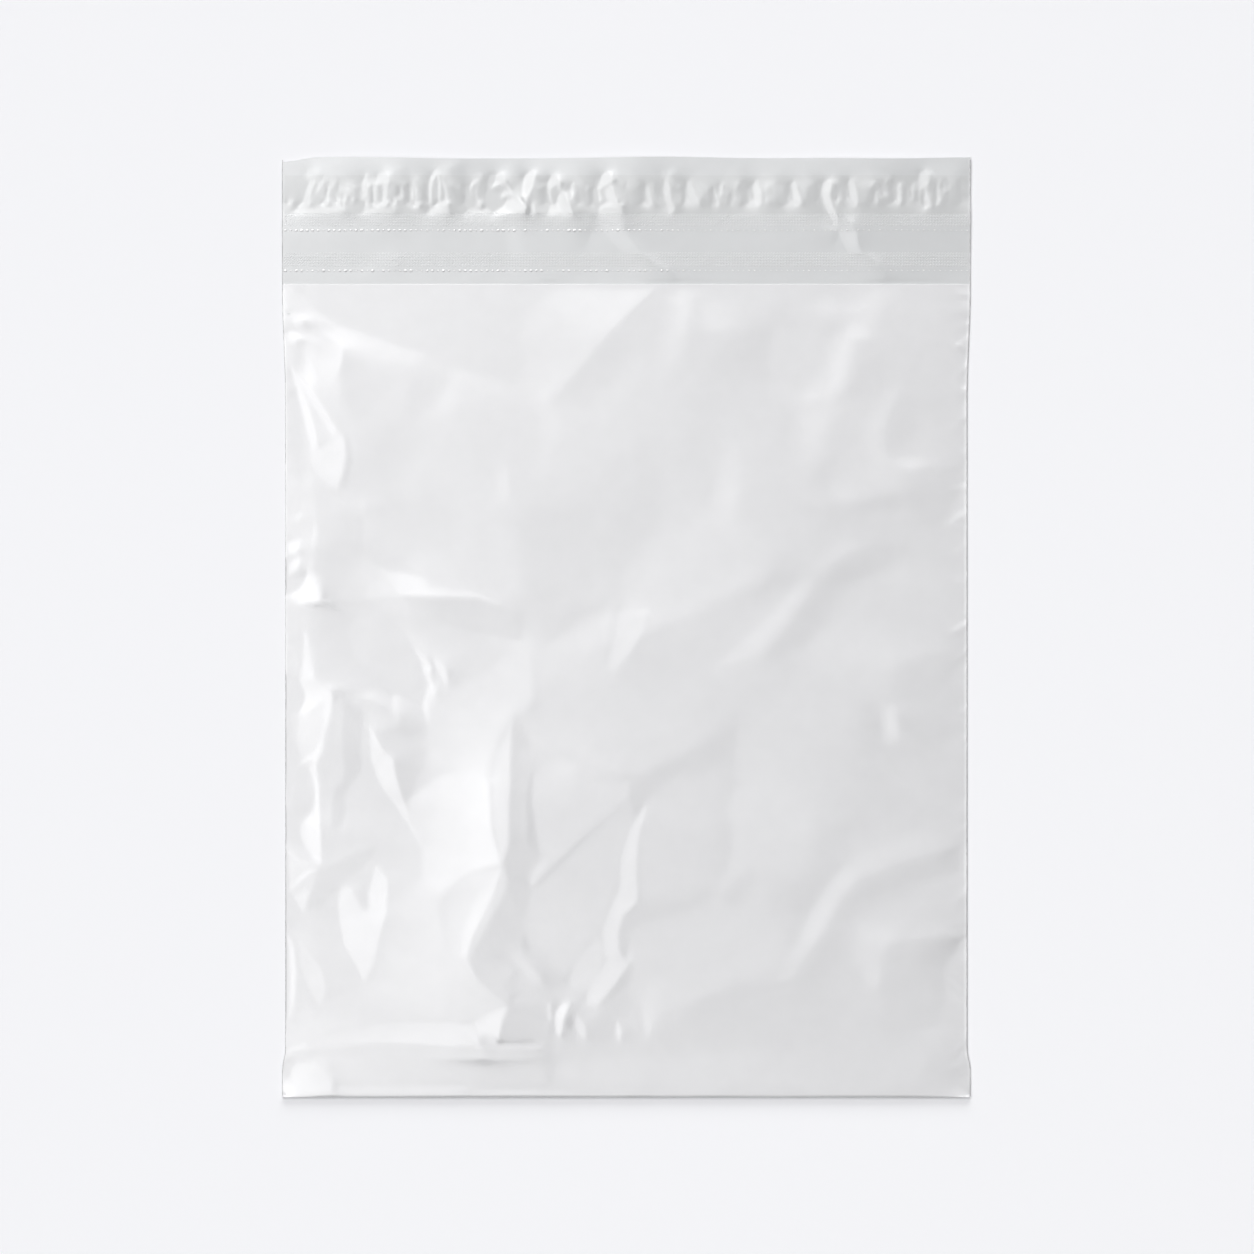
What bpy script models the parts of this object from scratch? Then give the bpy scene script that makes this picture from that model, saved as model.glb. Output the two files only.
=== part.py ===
"""An empty poly mailer bag that lies on its back with its mouth open.

Metres, +Z up, +Y towards the lip. The origin is under the middle of the bag. The bag is one web of
film: the lip and the back panel lie on the ground, a fold at the bottom turns the web over, and the
front panel comes back up to the mouth. Both sides are welded with a thin bead.
"""

import math
from dataclasses import dataclass

import bmesh
import bpy
from mathutils import Vector

MM = 0.001

# The web
BAG_WIDTH = 0.254
POCKET_LENGTH = 0.3005
LIP_LENGTH = 0.0465
FILM_GAUGE = 0.000064
BEAD_DIAMETER = 0.0003
SIDE_DRAW_IN = 0.0012
DRAW_IN_RUN = 0.043
FOLD_RADIUS = 0.0003
BOTTOM_CREASE_UP = 0.018
BOTTOM_CREASE_RISE = 0.0012

# How the empty pocket lies
WELD_MARGIN = 0.002
PANEL_LOFT = 0.0018
LOFT_RUN = 0.04
CREASE_RUN = 0.008
LIP_WAVE = 0.0012
LIP_WAVE_LENGTH = 0.085

# The two embossed bands across the lip
BAND_WIDTH = 0.0062
UPPER_BAND_FROM_TOP = 0.021
LOWER_BAND_FROM_TOP = 0.0358
BAND_RISE = 0.00015
BAND_RAMP = 0.0004

# The closing strip on the lip
ADHESIVE_WIDTH = 0.0107
ADHESIVE_THICKNESS = 0.0001
ADHESIVE_FROM_TOP = 0.0077
LINER_GAUGE = 0.00005
LINER_OVER_TOP = 0.0008
LINER_OVER_BOTTOM = 0.0025
STRIP_END_MARGIN = 0.0009
PUCKER_RISE = 0.0011
PUCKER_PITCH = 0.0056
STACK_GAP = 0.0003

# Mesh cells
PANEL_CELL = 0.0105
FOLD_STEPS = 4
LINER_CELL = PUCKER_PITCH / 3
LINER_ROWS = 3

HALF_WIDTH = BAG_WIDTH / 2
BOTTOM_Y = -(POCKET_LENGTH + LIP_LENGTH) / 2
TOP_Y = -BOTTOM_Y
MOUTH_Y = BOTTOM_Y + POCKET_LENGTH
BACK_Z = FILM_GAUGE / 2
FOLD_Z = BACK_Z + FOLD_RADIUS
FRONT_Z = BACK_Z + 2 * FOLD_RADIUS


@dataclass(frozen=True)
class Crease:
    """A ridge in the front panel. Points are across from the middle and up from the bottom fold."""

    points: tuple
    rise: float
    left_flank: float
    right_flank: float

    def height(self, across, up):
        """The ridge's height at one place of the panel."""
        nearest = None
        last = len(self.points) - 1
        for index in range(last):
            start = Vector(self.points[index])
            run = Vector(self.points[index + 1]) - start
            reach = Vector((across, up)) - start
            share = min(max(reach.dot(run) / run.length_squared, 0.0), 1.0)
            distance = (reach - run * share).length
            if nearest is None or distance < nearest[0]:
                side = run.x * reach.y - run.y * reach.x
                nearest = (distance, (index + share) / last, side)
        distance, along, side = nearest
        flank = self.left_flank if side > 0 else self.right_flank
        if distance >= flank:
            return 0.0
        fade = 0.35 + 0.65 * math.sin(math.pi * along)
        return self.rise * fade * (1 - distance / flank) ** 2


def crease(rise, left_flank, right_flank, *points):
    """A crease from sizes in millimetres."""
    placed = tuple((across * MM, up * MM) for across, up in points)
    return Crease(placed, rise * MM, left_flank * MM, right_flank * MM)


CREASES = {
    "tall_fold": crease(3.6, 12, 30, (-37, 164), (-41, 141), (-49, 124), (-50, 104), (-45, 85)),
    "tall_fold_foot": crease(2.6, 14, 22, (-45, 85), (-56, 66), (-60, 51), (-56, 44), (-43, 34)),
    "left_fold": crease(2.8, 10, 16, (-109, 150), (-111, 132), (-115, 115), (-114, 99), (-113, 85)),
    "star_arm": crease(2.2, 14, 12, (-126, 75), (-113, 85), (-90, 96)),
    "cross_fold": crease(2.4, 12, 8, (-93, 197), (-86, 185), (-69, 184), (-47, 183)),
    "elbow": crease(2.0, 12, 14, (-87, 173), (-70, 158), (-73, 139)),
    "finger": crease(2.4, 10, 16, (-96, 138), (-86, 126), (-82, 107), (-75, 91), (-75, 80)),
    "leaf": crease(2.4, 10, 14, (-126, 271), (-111, 251), (-104, 243), (-110, 225)),
    "mouth_sag": crease(1.8, 30, 30, (-65, 293), (-47, 278), (-26, 261), (-3, 285)),
    "middle_fold": crease(2.0, 16, 22, (7, 108), (3, 87), (3, 72), (-3, 60), (-10, 41)),
    "upper_roll": crease(1.6, 26, 26, (23, 293), (13, 257), (-3, 239)),
    "right_roll": crease(1.6, 24, 24, (83, 281), (71, 254), (64, 233)),
    "long_roll": crease(2.0, 28, 28, (37, 237), (18, 204), (3, 180), (-4, 158)),
    "low_roll": crease(1.6, 26, 26, (85, 204), (59, 190), (34, 165), (18, 150)),
    "right_hook": crease(1.8, 12, 14, (98, 147), (95, 136), (100, 129)),
    "corner_roll": crease(1.8, 20, 20, (80, 83), (69, 62), (61, 45)),
}


def smooth(share):
    """A smooth step from 0 to 1."""
    share = min(max(share, 0.0), 1.0)
    return share * share * (3 - 2 * share)


def half_width_at(y):
    """Half the bag's width: the welds draw the sides in between the lip and the bottom band."""
    below_mouth = smooth((MOUTH_Y - y) / DRAW_IN_RUN)
    above_crease = smooth((y - BOTTOM_Y - BOTTOM_CREASE_UP + CREASE_RUN) / CREASE_RUN)
    return HALF_WIDTH - BEAD_DIAMETER / 2 - SIDE_DRAW_IN * min(below_mouth, above_crease)


def band_rise(y):
    """How far the film stands up in the two embossed bands of the lip."""
    share = 0.0
    for from_top in (UPPER_BAND_FROM_TOP, LOWER_BAND_FROM_TOP):
        inside = min(TOP_Y - from_top - y, y - TOP_Y + from_top + BAND_WIDTH)
        share = max(share, min(inside / BAND_RAMP, 1.0))
    return BAND_RISE * share


def lip_z(x, y):
    """Height of the lip's middle surface: it waves more towards its free edge."""
    reach = smooth((y - MOUTH_Y) / LIP_LENGTH)
    wave = 0.5 - 0.5 * math.cos(2 * math.pi * (x + HALF_WIDTH) / LIP_WAVE_LENGTH)
    return BACK_Z + LIP_WAVE * wave * reach + band_rise(y)


def front_z(x, y):
    """Height of the front panel's middle surface."""
    from_side = HALF_WIDTH - abs(x) - WELD_MARGIN
    from_fold = y - BOTTOM_Y
    loft = PANEL_LOFT * smooth(from_side / LOFT_RUN) * smooth((from_fold - BOTTOM_CREASE_UP) / LOFT_RUN)
    pressed = max(0.0, 1 - abs(from_fold - BOTTOM_CREASE_UP) / CREASE_RUN)
    ridges = sum(item.height(x, from_fold) for item in CREASES.values())
    hem = smooth(from_side / CREASE_RUN)
    above_crease = smooth((from_fold - BOTTOM_CREASE_UP) / CREASE_RUN)
    return FRONT_Z + loft + hem * (BOTTOM_CREASE_RISE * pressed + ridges * above_crease)


def spread(start, end, cell):
    """Evenly spaced places from start to end, both ends included, about one cell apart."""
    count = max(1, round(abs(end - start) / cell))
    return [start + (end - start) * step / count for step in range(count + 1)]


def column_shares():
    """Places across the web, from -1 at the left weld to 1 at the right, with one beside each weld."""
    inner = 1 - WELD_MARGIN / HALF_WIDTH
    return [-1.0] + spread(-inner, inner, PANEL_CELL / HALF_WIDTH) + [1.0]


def lip_stations():
    """Places down the lip, with one at each edge of each band and of its ramps."""
    breaks = [TOP_Y]
    for from_top in (UPPER_BAND_FROM_TOP, LOWER_BAND_FROM_TOP):
        top = TOP_Y - from_top
        breaks += [top, top - BAND_RAMP, top - BAND_WIDTH + BAND_RAMP, top - BAND_WIDTH]
    breaks.append(MOUTH_Y)
    stations = []
    for upper, lower in zip(breaks, breaks[1:]):
        stations += spread(upper, lower, PANEL_CELL)[:-1]
    return stations


def web_stations():
    """Places along the web from the lip's edge to the front's edge, as (y, panel, turn)."""
    crease_y = BOTTOM_Y + BOTTOM_CREASE_UP
    body = spread(MOUTH_Y, crease_y, PANEL_CELL)[:-1] + spread(crease_y, BOTTOM_Y + FOLD_RADIUS, PANEL_CELL)
    turns = [math.pi * (step / FOLD_STEPS - 0.5) for step in range(1, FOLD_STEPS)]
    stations = [(y, "lip", 0.0) for y in lip_stations()]
    stations += [(y, "back", 0.0) for y in body]
    stations += [(BOTTOM_Y + FOLD_RADIUS * (1 - math.cos(turn)), "fold", turn) for turn in turns]
    stations += [(y, "front", 0.0) for y in reversed(body)]
    return stations


def web_point(share, station):
    """The middle surface of the film at one column and one station of the web."""
    y, panel, turn = station
    x = share * half_width_at(y)
    if panel == "lip":
        return Vector((x, y, lip_z(x, y)))
    if abs(share) == 1.0:
        return Vector((x, y, FOLD_Z))
    if panel == "back":
        return Vector((x, y, BACK_Z))
    if panel == "fold":
        return Vector((x, y, FOLD_Z + FOLD_RADIUS * math.sin(turn)))
    return Vector((x, y, front_z(x, y)))


def material(name, colour, roughness):
    """A plain plastic."""
    made = bpy.data.materials.new(name)
    made.use_nodes = True
    shader = made.node_tree.nodes["Principled BSDF"]
    shader.inputs["Base Color"].default_value = (*colour, 1.0)
    shader.inputs["Roughness"].default_value = roughness
    shader.inputs["Metallic"].default_value = 0.0
    made.diffuse_color = (*colour, 1.0)
    return made


def sheet(name, collection, columns, rows, place):
    """An open grid with each vertex placed by its column and row."""
    shape = bmesh.new()
    bmesh.ops.create_grid(shape, x_segments=columns, y_segments=rows, size=0.5)
    for vertex in shape.verts:
        column = round((vertex.co.x + 0.5) * columns)
        row = round((vertex.co.y + 0.5) * rows)
        vertex.co = place(column, row)
    bmesh.ops.remove_doubles(shape, verts=shape.verts, dist=FOLD_RADIUS / 100)
    for face in shape.faces:
        face.smooth = True
    mesh = bpy.data.meshes.new(name)
    shape.to_mesh(mesh)
    shape.free()
    made = bpy.data.objects.new(name, mesh)
    collection.objects.link(made)
    return made


def thicken(made, thickness):
    """Give an open sheet its wall, half to each side."""
    wall = made.modifiers.new("Wall", "SOLIDIFY")
    wall.thickness = thickness
    wall.offset = 0.0
    wall.use_rim = True
    return wall


def build_bag_film(collection):
    """The folded and welded web, thicker along both beads."""
    shares = column_shares()
    stations = web_stations()
    made = sheet(
        "bag_film",
        collection,
        len(shares) - 1,
        len(stations) - 1,
        lambda column, row: web_point(shares[column], stations[row]),
    )
    film = made.vertex_groups.new(name="film")
    for vertex in made.data.vertices:
        on_bead = abs(vertex.co.x) > half_width_at(vertex.co.y) - WELD_MARGIN / 2
        weight = 1.0 if on_bead else FILM_GAUGE / BEAD_DIAMETER
        film.add([vertex.index], weight, "REPLACE")
    wall = thicken(made, BEAD_DIAMETER)
    wall.vertex_group = film.name
    wall.material_offset = 1
    made.data.materials.append(material("film_white", (0.82, 0.83, 0.84), 0.2))
    made.data.materials.append(material("film_grey", (0.62, 0.63, 0.64), 0.25))
    return made


def strip_shares(cell):
    """Places along a strip that runs from bead to bead, as shares of its half length."""
    return spread(-1.0, 1.0, cell / HALF_WIDTH)


def strip_x(share, y):
    """A strip's place across the lip, clear of both beads."""
    return share * (half_width_at(y) - BEAD_DIAMETER / 2 - STRIP_END_MARGIN)


def build_adhesive_strip(collection):
    """The line of adhesive across the lip."""
    shares = strip_shares(PANEL_CELL)
    top = TOP_Y - ADHESIVE_FROM_TOP
    rows = (top - ADHESIVE_WIDTH, top)
    rise = FILM_GAUGE / 2 + STACK_GAP + ADHESIVE_THICKNESS / 2

    def place(column, row):
        x = strip_x(shares[column], rows[row])
        return Vector((x, rows[row], lip_z(x, rows[row]) + rise))

    made = sheet("adhesive_strip", collection, len(shares) - 1, len(rows) - 1, place)
    thicken(made, ADHESIVE_THICKNESS)
    made.data.materials.append(material("adhesive", (0.70, 0.71, 0.70), 0.35))
    return made


def pucker(x, reach):
    """Height of the liner's crinkles, which die out towards its lower edge."""
    phase = 2 * math.pi * x / PUCKER_PITCH
    uneven = math.sin(phase + 1.7 * math.sin(phase * 0.37) + 0.9 * math.sin(phase * 0.113))
    size = 0.65 + 0.35 * math.sin(phase * 0.29 + 1.1)
    return PUCKER_RISE * reach * size * max(0.0, uneven)


def build_release_liner(collection):
    """The thin liner over the adhesive, with crinkles along its upper part."""
    shares = strip_shares(LINER_CELL)
    top = TOP_Y - ADHESIVE_FROM_TOP + LINER_OVER_TOP
    bottom = TOP_Y - ADHESIVE_FROM_TOP - ADHESIVE_WIDTH - LINER_OVER_BOTTOM
    rise = FILM_GAUGE / 2 + 2 * STACK_GAP + ADHESIVE_THICKNESS + LINER_GAUGE / 2

    def place(column, row):
        reach = row / LINER_ROWS
        y = bottom + (top - bottom) * reach
        x = strip_x(shares[column], y)
        return Vector((x, y, lip_z(x, y) + rise + pucker(x, reach)))

    made = sheet("release_liner", collection, len(shares) - 1, LINER_ROWS, place)
    thicken(made, LINER_GAUGE)
    made.data.materials.append(material("liner_clear", (0.80, 0.81, 0.82), 0.15))
    return made


def main():
    """Clear the scene and build the bag."""
    for old in list(bpy.data.objects):
        bpy.data.objects.remove(old, do_unlink=True)
    collection = bpy.data.collections.new("poly_mailer_bag")
    bpy.context.scene.collection.children.link(collection)
    build_bag_film(collection)
    build_adhesive_strip(collection)
    build_release_liner(collection)


main()
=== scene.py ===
"""Looks of an empty poly mailer bag that lies flat with its mouth and its lip open.

The bag is one folded web of film: a white pocket whose front panel is full of soft folds, and a grey
lip with two embossed bands, a line of adhesive and a crinkled release liner.
"""

import logging
import math
from collections.abc import Callable, Sequence
from dataclasses import dataclass
from enum import Enum

import bpy
import numpy as np
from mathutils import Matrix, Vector
from mathutils.geometry import tessellate_polygon


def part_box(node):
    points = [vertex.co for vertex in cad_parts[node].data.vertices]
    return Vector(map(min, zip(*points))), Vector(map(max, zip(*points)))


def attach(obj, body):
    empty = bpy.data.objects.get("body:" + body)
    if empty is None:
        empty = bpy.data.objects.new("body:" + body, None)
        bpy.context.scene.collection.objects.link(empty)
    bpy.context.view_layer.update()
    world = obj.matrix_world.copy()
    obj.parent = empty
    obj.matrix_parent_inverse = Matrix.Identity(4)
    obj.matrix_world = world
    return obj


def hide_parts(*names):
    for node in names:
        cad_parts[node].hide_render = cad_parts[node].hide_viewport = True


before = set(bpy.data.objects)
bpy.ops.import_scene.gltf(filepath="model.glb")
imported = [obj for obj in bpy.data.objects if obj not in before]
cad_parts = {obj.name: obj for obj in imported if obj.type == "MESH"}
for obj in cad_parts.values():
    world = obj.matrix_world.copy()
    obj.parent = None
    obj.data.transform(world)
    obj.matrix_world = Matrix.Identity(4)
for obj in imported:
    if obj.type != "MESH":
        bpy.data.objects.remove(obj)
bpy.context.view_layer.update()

log = logging.getLogger("mailer")

MM = 0.001
# The photograph's side, the bag's width and middle in it, and the rows of the bottom fold and of the mouth.
PHOTO_SIDE_PX = 1254
BAG_WIDTH_PX = 688
BAG_MIDDLE_PX = 626.2
PANEL_BASE_ROW = 1097
LIP_BASE_ROW = 283
BODY = "root"

# Where the light over the bag comes from, in degrees from straight right. Most facets face that way.
UPPER_LEFT = 170.0
# How firmly the film keeps level beside its facets, and how firmly it keeps from rising aside.
CALM_HOLD = 0.10
ASIDE_HOLD = 0.08
# How softly the film meets what holds it up, in millimetres, and how far from the welds the ripples end.
FLOOR_SOFTNESS = 0.05
RIPPLE_MARGIN = 0.006
# Faces that meet at more than this are a cut edge.
CUT_EDGE_DEGREES = 45.0
# Factor on the softness of every facet's border.
BORDER_SOFTNESS = 0.6
# How much coarser each pass over the grid is, and its rounds.
SOLVER_LEVELS = ((8, 400), (4, 300), (2, 200), (1, 150))
# The softest that a border may be, in cells, and what counts as nothing in a share or an area.
LEAST_SOFTNESS = 0.6
NOTHING = 1e-6
# The cells of the two reliefs and the seeds of their chance ripples.
PANEL_STEP, PANEL_SEED = 0.00045, 7
LIP_STEP, LIP_SEED = 0.00035, 9


@dataclass(frozen=True)
class Facet:
    """A facet of the film, with its border's softness in millimetres.

    Its corners are numbers in threes: a corner's column and row as read off the photograph, and how many
    degrees the film leans there towards the way that the facet faces.
    """

    name: str
    softness: float
    corners: tuple[float, ...]
    faces: float = UPPER_LEFT


PANEL_FACETS: tuple[Facet, ...] = (
    # Upper left, below the mouth.
    Facet("right ground", 6, (850, 288, 0, 965, 288, 1.3, 965, 1040, 1.2, 850, 1040, 0)),
    Facet("low right field", 5, (740, 700, 1.2, 860, 690, 1.2, 880, 760, 1.2, 800, 890, 1.2,
        745, 890, 1.2)),
    Facet("lower left ground", 6, (288, 700, 2, 500, 700, 1.8, 500, 900, 2.6, 460, 1045, 3.4,
        288, 1045, 2.6)),
    Facet("left margin", 2, (286, 284, -3, 302, 284, -3, 302, 520, -2, 286, 520, -2)),
    Facet("left margin foot", 2, (286, 520, -2, 300, 520, -2, 296, 680, -2, 286, 680, -2)),
    Facet("dull band under the corner", 3, (286, 288, -2, 300, 288, -3, 322, 300, -4, 341, 330, -4,
        330, 338, -3, 305, 318, -3, 288, 300, -2)),
    Facet("upper panel", 2, (305, 318, -4, 345, 318, -4, 415, 325, -3, 411, 370, -1, 400, 405, 0,
        356, 430, -2, 346, 400, -3, 335, 350, -3)),
    Facet("dull band beside the panel", 3.5, (417, 288, -1, 447, 292, -1, 470, 330, -2.5, 458, 365, -2,
        427, 413, -2, 402, 413, -2.5, 411, 370, -2.5, 420, 325, -2)),
    Facet("dull hollow", 4, (355, 430, -2, 375, 420, -3, 410, 440, -3, 420, 465, -2, 390, 475, -2,
        357, 460, -2)),
    Facet("top patch", 0.25, (362, 288, 1, 401, 288, 4, 416, 322, 5.5, 399, 327, 4, 382, 316, 2,
        366, 306, 0)),
    Facet("upper margin", 1, (286, 290, -5, 330, 300, -6, 345, 318, -6, 330, 331, -5, 300, 326, -4,
        286, 322, -4)),
    Facet("shoulder", 0.5, (299, 331, 2, 320, 333, 4, 343, 346, 5, 342, 364, 5, 329, 387, 4, 319, 375, 3,
        311, 358, 2, 305, 344, 2), 150),
    Facet("upper edge gather", 0.4, (287, 311, 7, 300, 316, 9, 308, 322, 6, 296, 324, 5), 125),
    Facet("lower edge gather", 0.4, (287, 330, 8, 297, 330, 9, 306, 338, 7, 292, 342, 6), 125),
    Facet("gather shade", 0.5, (303, 318, -4, 311, 322, -4, 310, 333, -3, 304, 330, -4)),
    Facet("leaf middle", 0.4, (297, 373, 0, 310, 390, 0, 330, 420, 1, 334, 440, 2, 320, 446, 2, 314, 425, 0,
        305, 398, 0)),
    Facet("leaf left strip", 0.4, (289, 362, 6, 297, 375, 7, 304, 395, 9, 312, 420, 11, 318, 448, 10,
        311, 448, 9, 304, 417, 8, 295, 388, 6)),
    Facet("leaf crest", 0.3, (296, 370, 11, 312, 390, 12, 329, 417, 12, 337, 432, 12, 333, 434, 11,
        322, 418, 11, 305, 392, 10)),
    Facet("leaf foot", 0.4, (311, 448, 5, 322, 446, 5, 333, 442, 4, 337, 432, 7, 344, 436, 6, 346, 455, 5,
        343, 472, 7, 336, 489, 6, 321, 480, 4, 311, 464, 4)),
    Facet("leaf back", 0.7, (338, 425, -4, 350, 436, -4, 352, 462, -4, 346, 485, -3, 343, 480, -4,
        347, 455, -5, 344, 436, -5)),
    Facet("panel under the leaf", 1.5, (300, 485, -1, 320, 484, -4, 366, 515, -4, 364, 554, -4,
        332, 582, -4, 310, 568, -3, 318, 530, -3)),
    Facet("panel right of it", 2, (366, 505, -1.5, 400, 500, -1.5, 432, 530, -1, 430, 565, -1, 380, 556, -2,
        364, 554, -3)),
    Facet("edge panel", 1.5, (287, 470, -2, 300, 480, -1, 315, 500, -1, 310, 560, -1, 300, 575, -1,
        288, 590, -1)),
    Facet("first fleck", 0.3, (288, 515, 8, 303, 514, 9, 298, 519, 6), 125),
    Facet("second fleck", 0.4, (288, 540, 9, 301, 540, 9, 297, 552, 8, 288, 553, 8), 125),
    Facet("third fleck", 0.4, (288, 562, 6, 300, 558, 8, 297, 570, 7, 288, 575, 7), 125),
    Facet("corner triangle", 0.4, (288, 596, 10, 300, 583, 11, 308, 571, 10, 318, 585, 11, 332, 603, 12,
        305, 603, 12), 125),
    Facet("corner triangle shade", 0.5, (288, 604, -3, 328, 604, -5, 340, 612, -4, 330, 612, -3,
        300, 608, -2)),
    # The cross fold and the elbow under it.
    Facet("beside the wedge", 1.5, (322, 572, -2, 358, 556, -1, 372, 566, 0, 380, 598, 0,
        322, 601, -2), 108),
    Facet("wedge start", 0.8, (359, 556, 2, 376, 564, 3, 392, 596, 3, 365, 597, 1, 371, 585, 1), 108),
    Facet("wedge", 0.5, (376, 564, 6, 400, 570, 8, 423, 576, 9, 430, 578, 9, 440, 583, 8, 460, 588, 8,
        478, 593, 9, 490, 598, 9, 501, 606, 10, 478, 597, 9, 442, 597, 9, 399, 597, 8, 388, 583, 7), 108),
    Facet("under the cross fold", 0.9, (330, 600, -3, 396, 599, -5, 480, 599, -5, 503, 609, -4,
        525, 613, -3, 520, 640, -3, 474, 632, -4, 430, 620, -4, 395, 612, -5, 330, 606, -3), 108),
    Facet("soft streak", 1.2, (486, 412, 2, 496, 418, 4, 500, 440, 4, 508, 470, 4, 510, 500, 3, 500, 500, 3,
        492, 460, 3, 487, 435, 2)),
    Facet("step left", 3, (430, 450, -0.5, 508, 500, 1, 515, 560, 1, 500, 598, 0, 430, 585, -1.5,
        415, 540, -1.5)),
    Facet("step right", 4, (511, 500, -2, 560, 500, -2, 600, 500, -2, 600, 600, -2, 530, 600, -3,
        520, 570, -3)),
    Facet("left light panel", 1.2, (288, 607, -2, 327, 606, -2, 327, 632, -1.5, 310, 645, -2, 307, 675, -2,
        298, 672, -2)),
    Facet("spur", 0.5, (303, 628, 3, 309, 640, 5, 309, 668, 5, 306, 674, 6, 301, 672, 5, 304, 650, 4)),
    Facet("shaded panel beside the spur", 1.2, (312, 612, -3, 352, 618, -4, 390, 640, -4, 397, 672, -5,
        390, 715, -5, 368, 695, -4, 345, 692, -4, 333, 688, -3, 314, 678, -3, 311, 645, -3)),
    Facet("shade beside the elbow", 1, (397, 672, -4, 412, 680, -4, 428, 712, -3, 427, 740, -3,
        400, 725, -3)),
    Facet("elbow", 0.35, (392, 629, 8, 402, 638, 9, 412, 646, 9, 425, 657, 10, 432, 666, 10, 430, 676, 9,
        436, 690, 10, 438, 701, 10, 432, 706, 9, 432, 716, 9, 428, 724, 9, 422, 708, 10, 416, 690, 11,
        411, 672, 11, 405, 658, 10, 398, 643, 9)),
    Facet("elbow crease", 0.2, (411, 671, 3, 417, 674, 3, 428, 683, 3, 432, 689, 4, 424, 686, 3,
        416, 679, 3)),
    Facet("elbow wing", 0.3, (433, 658, 8, 443, 665, 9, 448, 673, 9, 447, 688, 8, 442, 678, 8,
        434, 667, 8)),
    Facet("elbow back", 0.8, (449, 690, -2, 457, 668, -2, 461, 690, -2, 448, 716, -2, 440, 712, -2)),
    # The left column.
    Facet("column top", 0.35, (295, 683, 10, 304, 673, 9, 311, 681, 11, 330, 689, 12, 333, 696, 12,
        320, 703, 12, 306, 714, 11, 299, 714, 10, 299, 697, 10)),
    Facet("column middle", 0.6, (299, 714, 5, 306, 714, 5, 320, 703, 7, 323, 720, 6, 320, 735, 6,
        314, 749, 5, 296, 757, 5, 296, 735, 4)),
    Facet("column flank", 0.35, (320, 703, 8, 333, 695, 12, 331, 712, 10, 324, 735, 9, 322, 750, 10,
        315, 766, 11, 309, 762, 10, 296, 762, 8, 314, 749, 9, 320, 735, 8, 323, 720, 8)),
    Facet("column hollow", 0.6, (292, 768, 0, 306, 769, -1, 311, 777, -1, 313, 797, -2, 311, 808, -2,
        305, 818, -2, 292, 821, -1, 289, 813, 0, 293, 790, 0, 288, 777, 0)),
    Facet("column foot", 0.4, (292, 822, 8, 305, 819, 9, 313, 810, 10, 317, 858, 12, 318, 863, 11,
        305, 848, 9, 292, 832, 7)),
    Facet("column edge", 0.3, (308, 768, 10, 315, 764, 12, 318, 783, 13, 318, 805, 13, 320, 830, 13,
        320, 864, 13, 315, 855, 10, 314, 812, 12, 314, 790, 12, 311, 776, 11)),
    Facet("star upper shade", 0.5, (288, 832, -1, 303, 846, -1, 317, 862, 0, 300, 860, -1, 290, 850, -1)),
    Facet("column back", 0.5, (334, 700, 2, 341, 697, 3, 341, 740, 2, 345, 772, 3, 338, 785, 3, 331, 790, 2,
        328, 835, 3, 322, 862, 2, 320, 813, 1, 323, 760, 1, 330, 739, 1)),
    Facet("rib shade", 0.6, (346, 696, -2, 364, 710, -2, 362, 730, -2, 360, 755, -2.5, 361, 770, -2.5,
        357, 786, -2.5, 350, 800, -2.5, 345, 815, -2.5, 339, 829, -2, 332, 827, -2, 331, 805, -2,
        334, 790, -2.5, 343, 779, -2.5, 345, 771, -2.5, 342, 758, -2, 343, 720, -2)),
    Facet("rib top", 0.5, (344, 694, 4, 360, 697, 4, 375, 705, 4, 385, 715, 4, 388, 728, 3, 374, 727, 4,
        364, 711, 4)),
    Facet("finger shade", 0.8, (372, 728, -2, 385, 730, -2, 397, 727, -2, 405, 725, -3, 413, 732, -3,
        424, 745, -2, 431, 748, -2, 424, 765, -1, 417, 777, -1, 410, 800, -2, 404, 804, -3, 399, 790, -3,
        394, 772, -2, 391, 757, -2, 383, 751, -2, 375, 734, -2)),
    Facet("finger", 0.35, (369, 725, 9, 375, 734, 11, 383, 751, 11, 393, 757, 11, 395, 774, 11,
        400, 792, 11, 405, 805, 11, 412, 820, 11, 418, 833, 11, 423, 848, 11, 414, 836, 10, 406, 822, 10,
        394, 808, 10, 383, 796, 9, 377, 787, 10, 375, 770, 10, 370, 758, 10, 370, 735, 9)),
    Facet("panel under the finger", 1, (354, 800, 2, 382, 800, 2, 409, 833, 2.5, 421, 850, 3, 423, 878, 3,
        387, 880, 1.5, 376, 846, 1.5, 344, 829, 1.5)),
    Facet("star upper arm", 0.25, (286, 849, 10, 302, 859, 9, 320, 865, 10, 302, 863, 8, 288, 856, 8)),
    Facet("star middle arm", 0.4, (288, 857, 4, 303, 863, 3, 318, 866, 3, 302, 873, 3, 289, 886, 5)),
    Facet("star lower line", 0.25, (320, 866, 11, 304, 877, 12, 287, 893, 12, 290, 887, 9, 302, 874, 8)),
    Facet("star lower arm", 0.3, (289, 894, 7, 300, 892, 7, 310, 889, 6, 307, 900, 7, 303, 912, 8,
        296, 902, 7)),
    Facet("star valley", 0.6, (321, 867, -0.5, 335, 863, -0.5, 374, 846, -0.5, 376, 850, -0.5,
        362, 868, -0.5, 342, 884, -1, 322, 905, -1, 308, 911, -1, 306, 903, -0.5, 312, 890, -0.5,
        317, 873, -1)),
    Facet("star ridge", 0.4, (321, 865, 5, 335, 858, 4, 355, 846, 4, 378, 838, 3, 356, 848, 4,
        336, 861, 5), 135),
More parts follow.
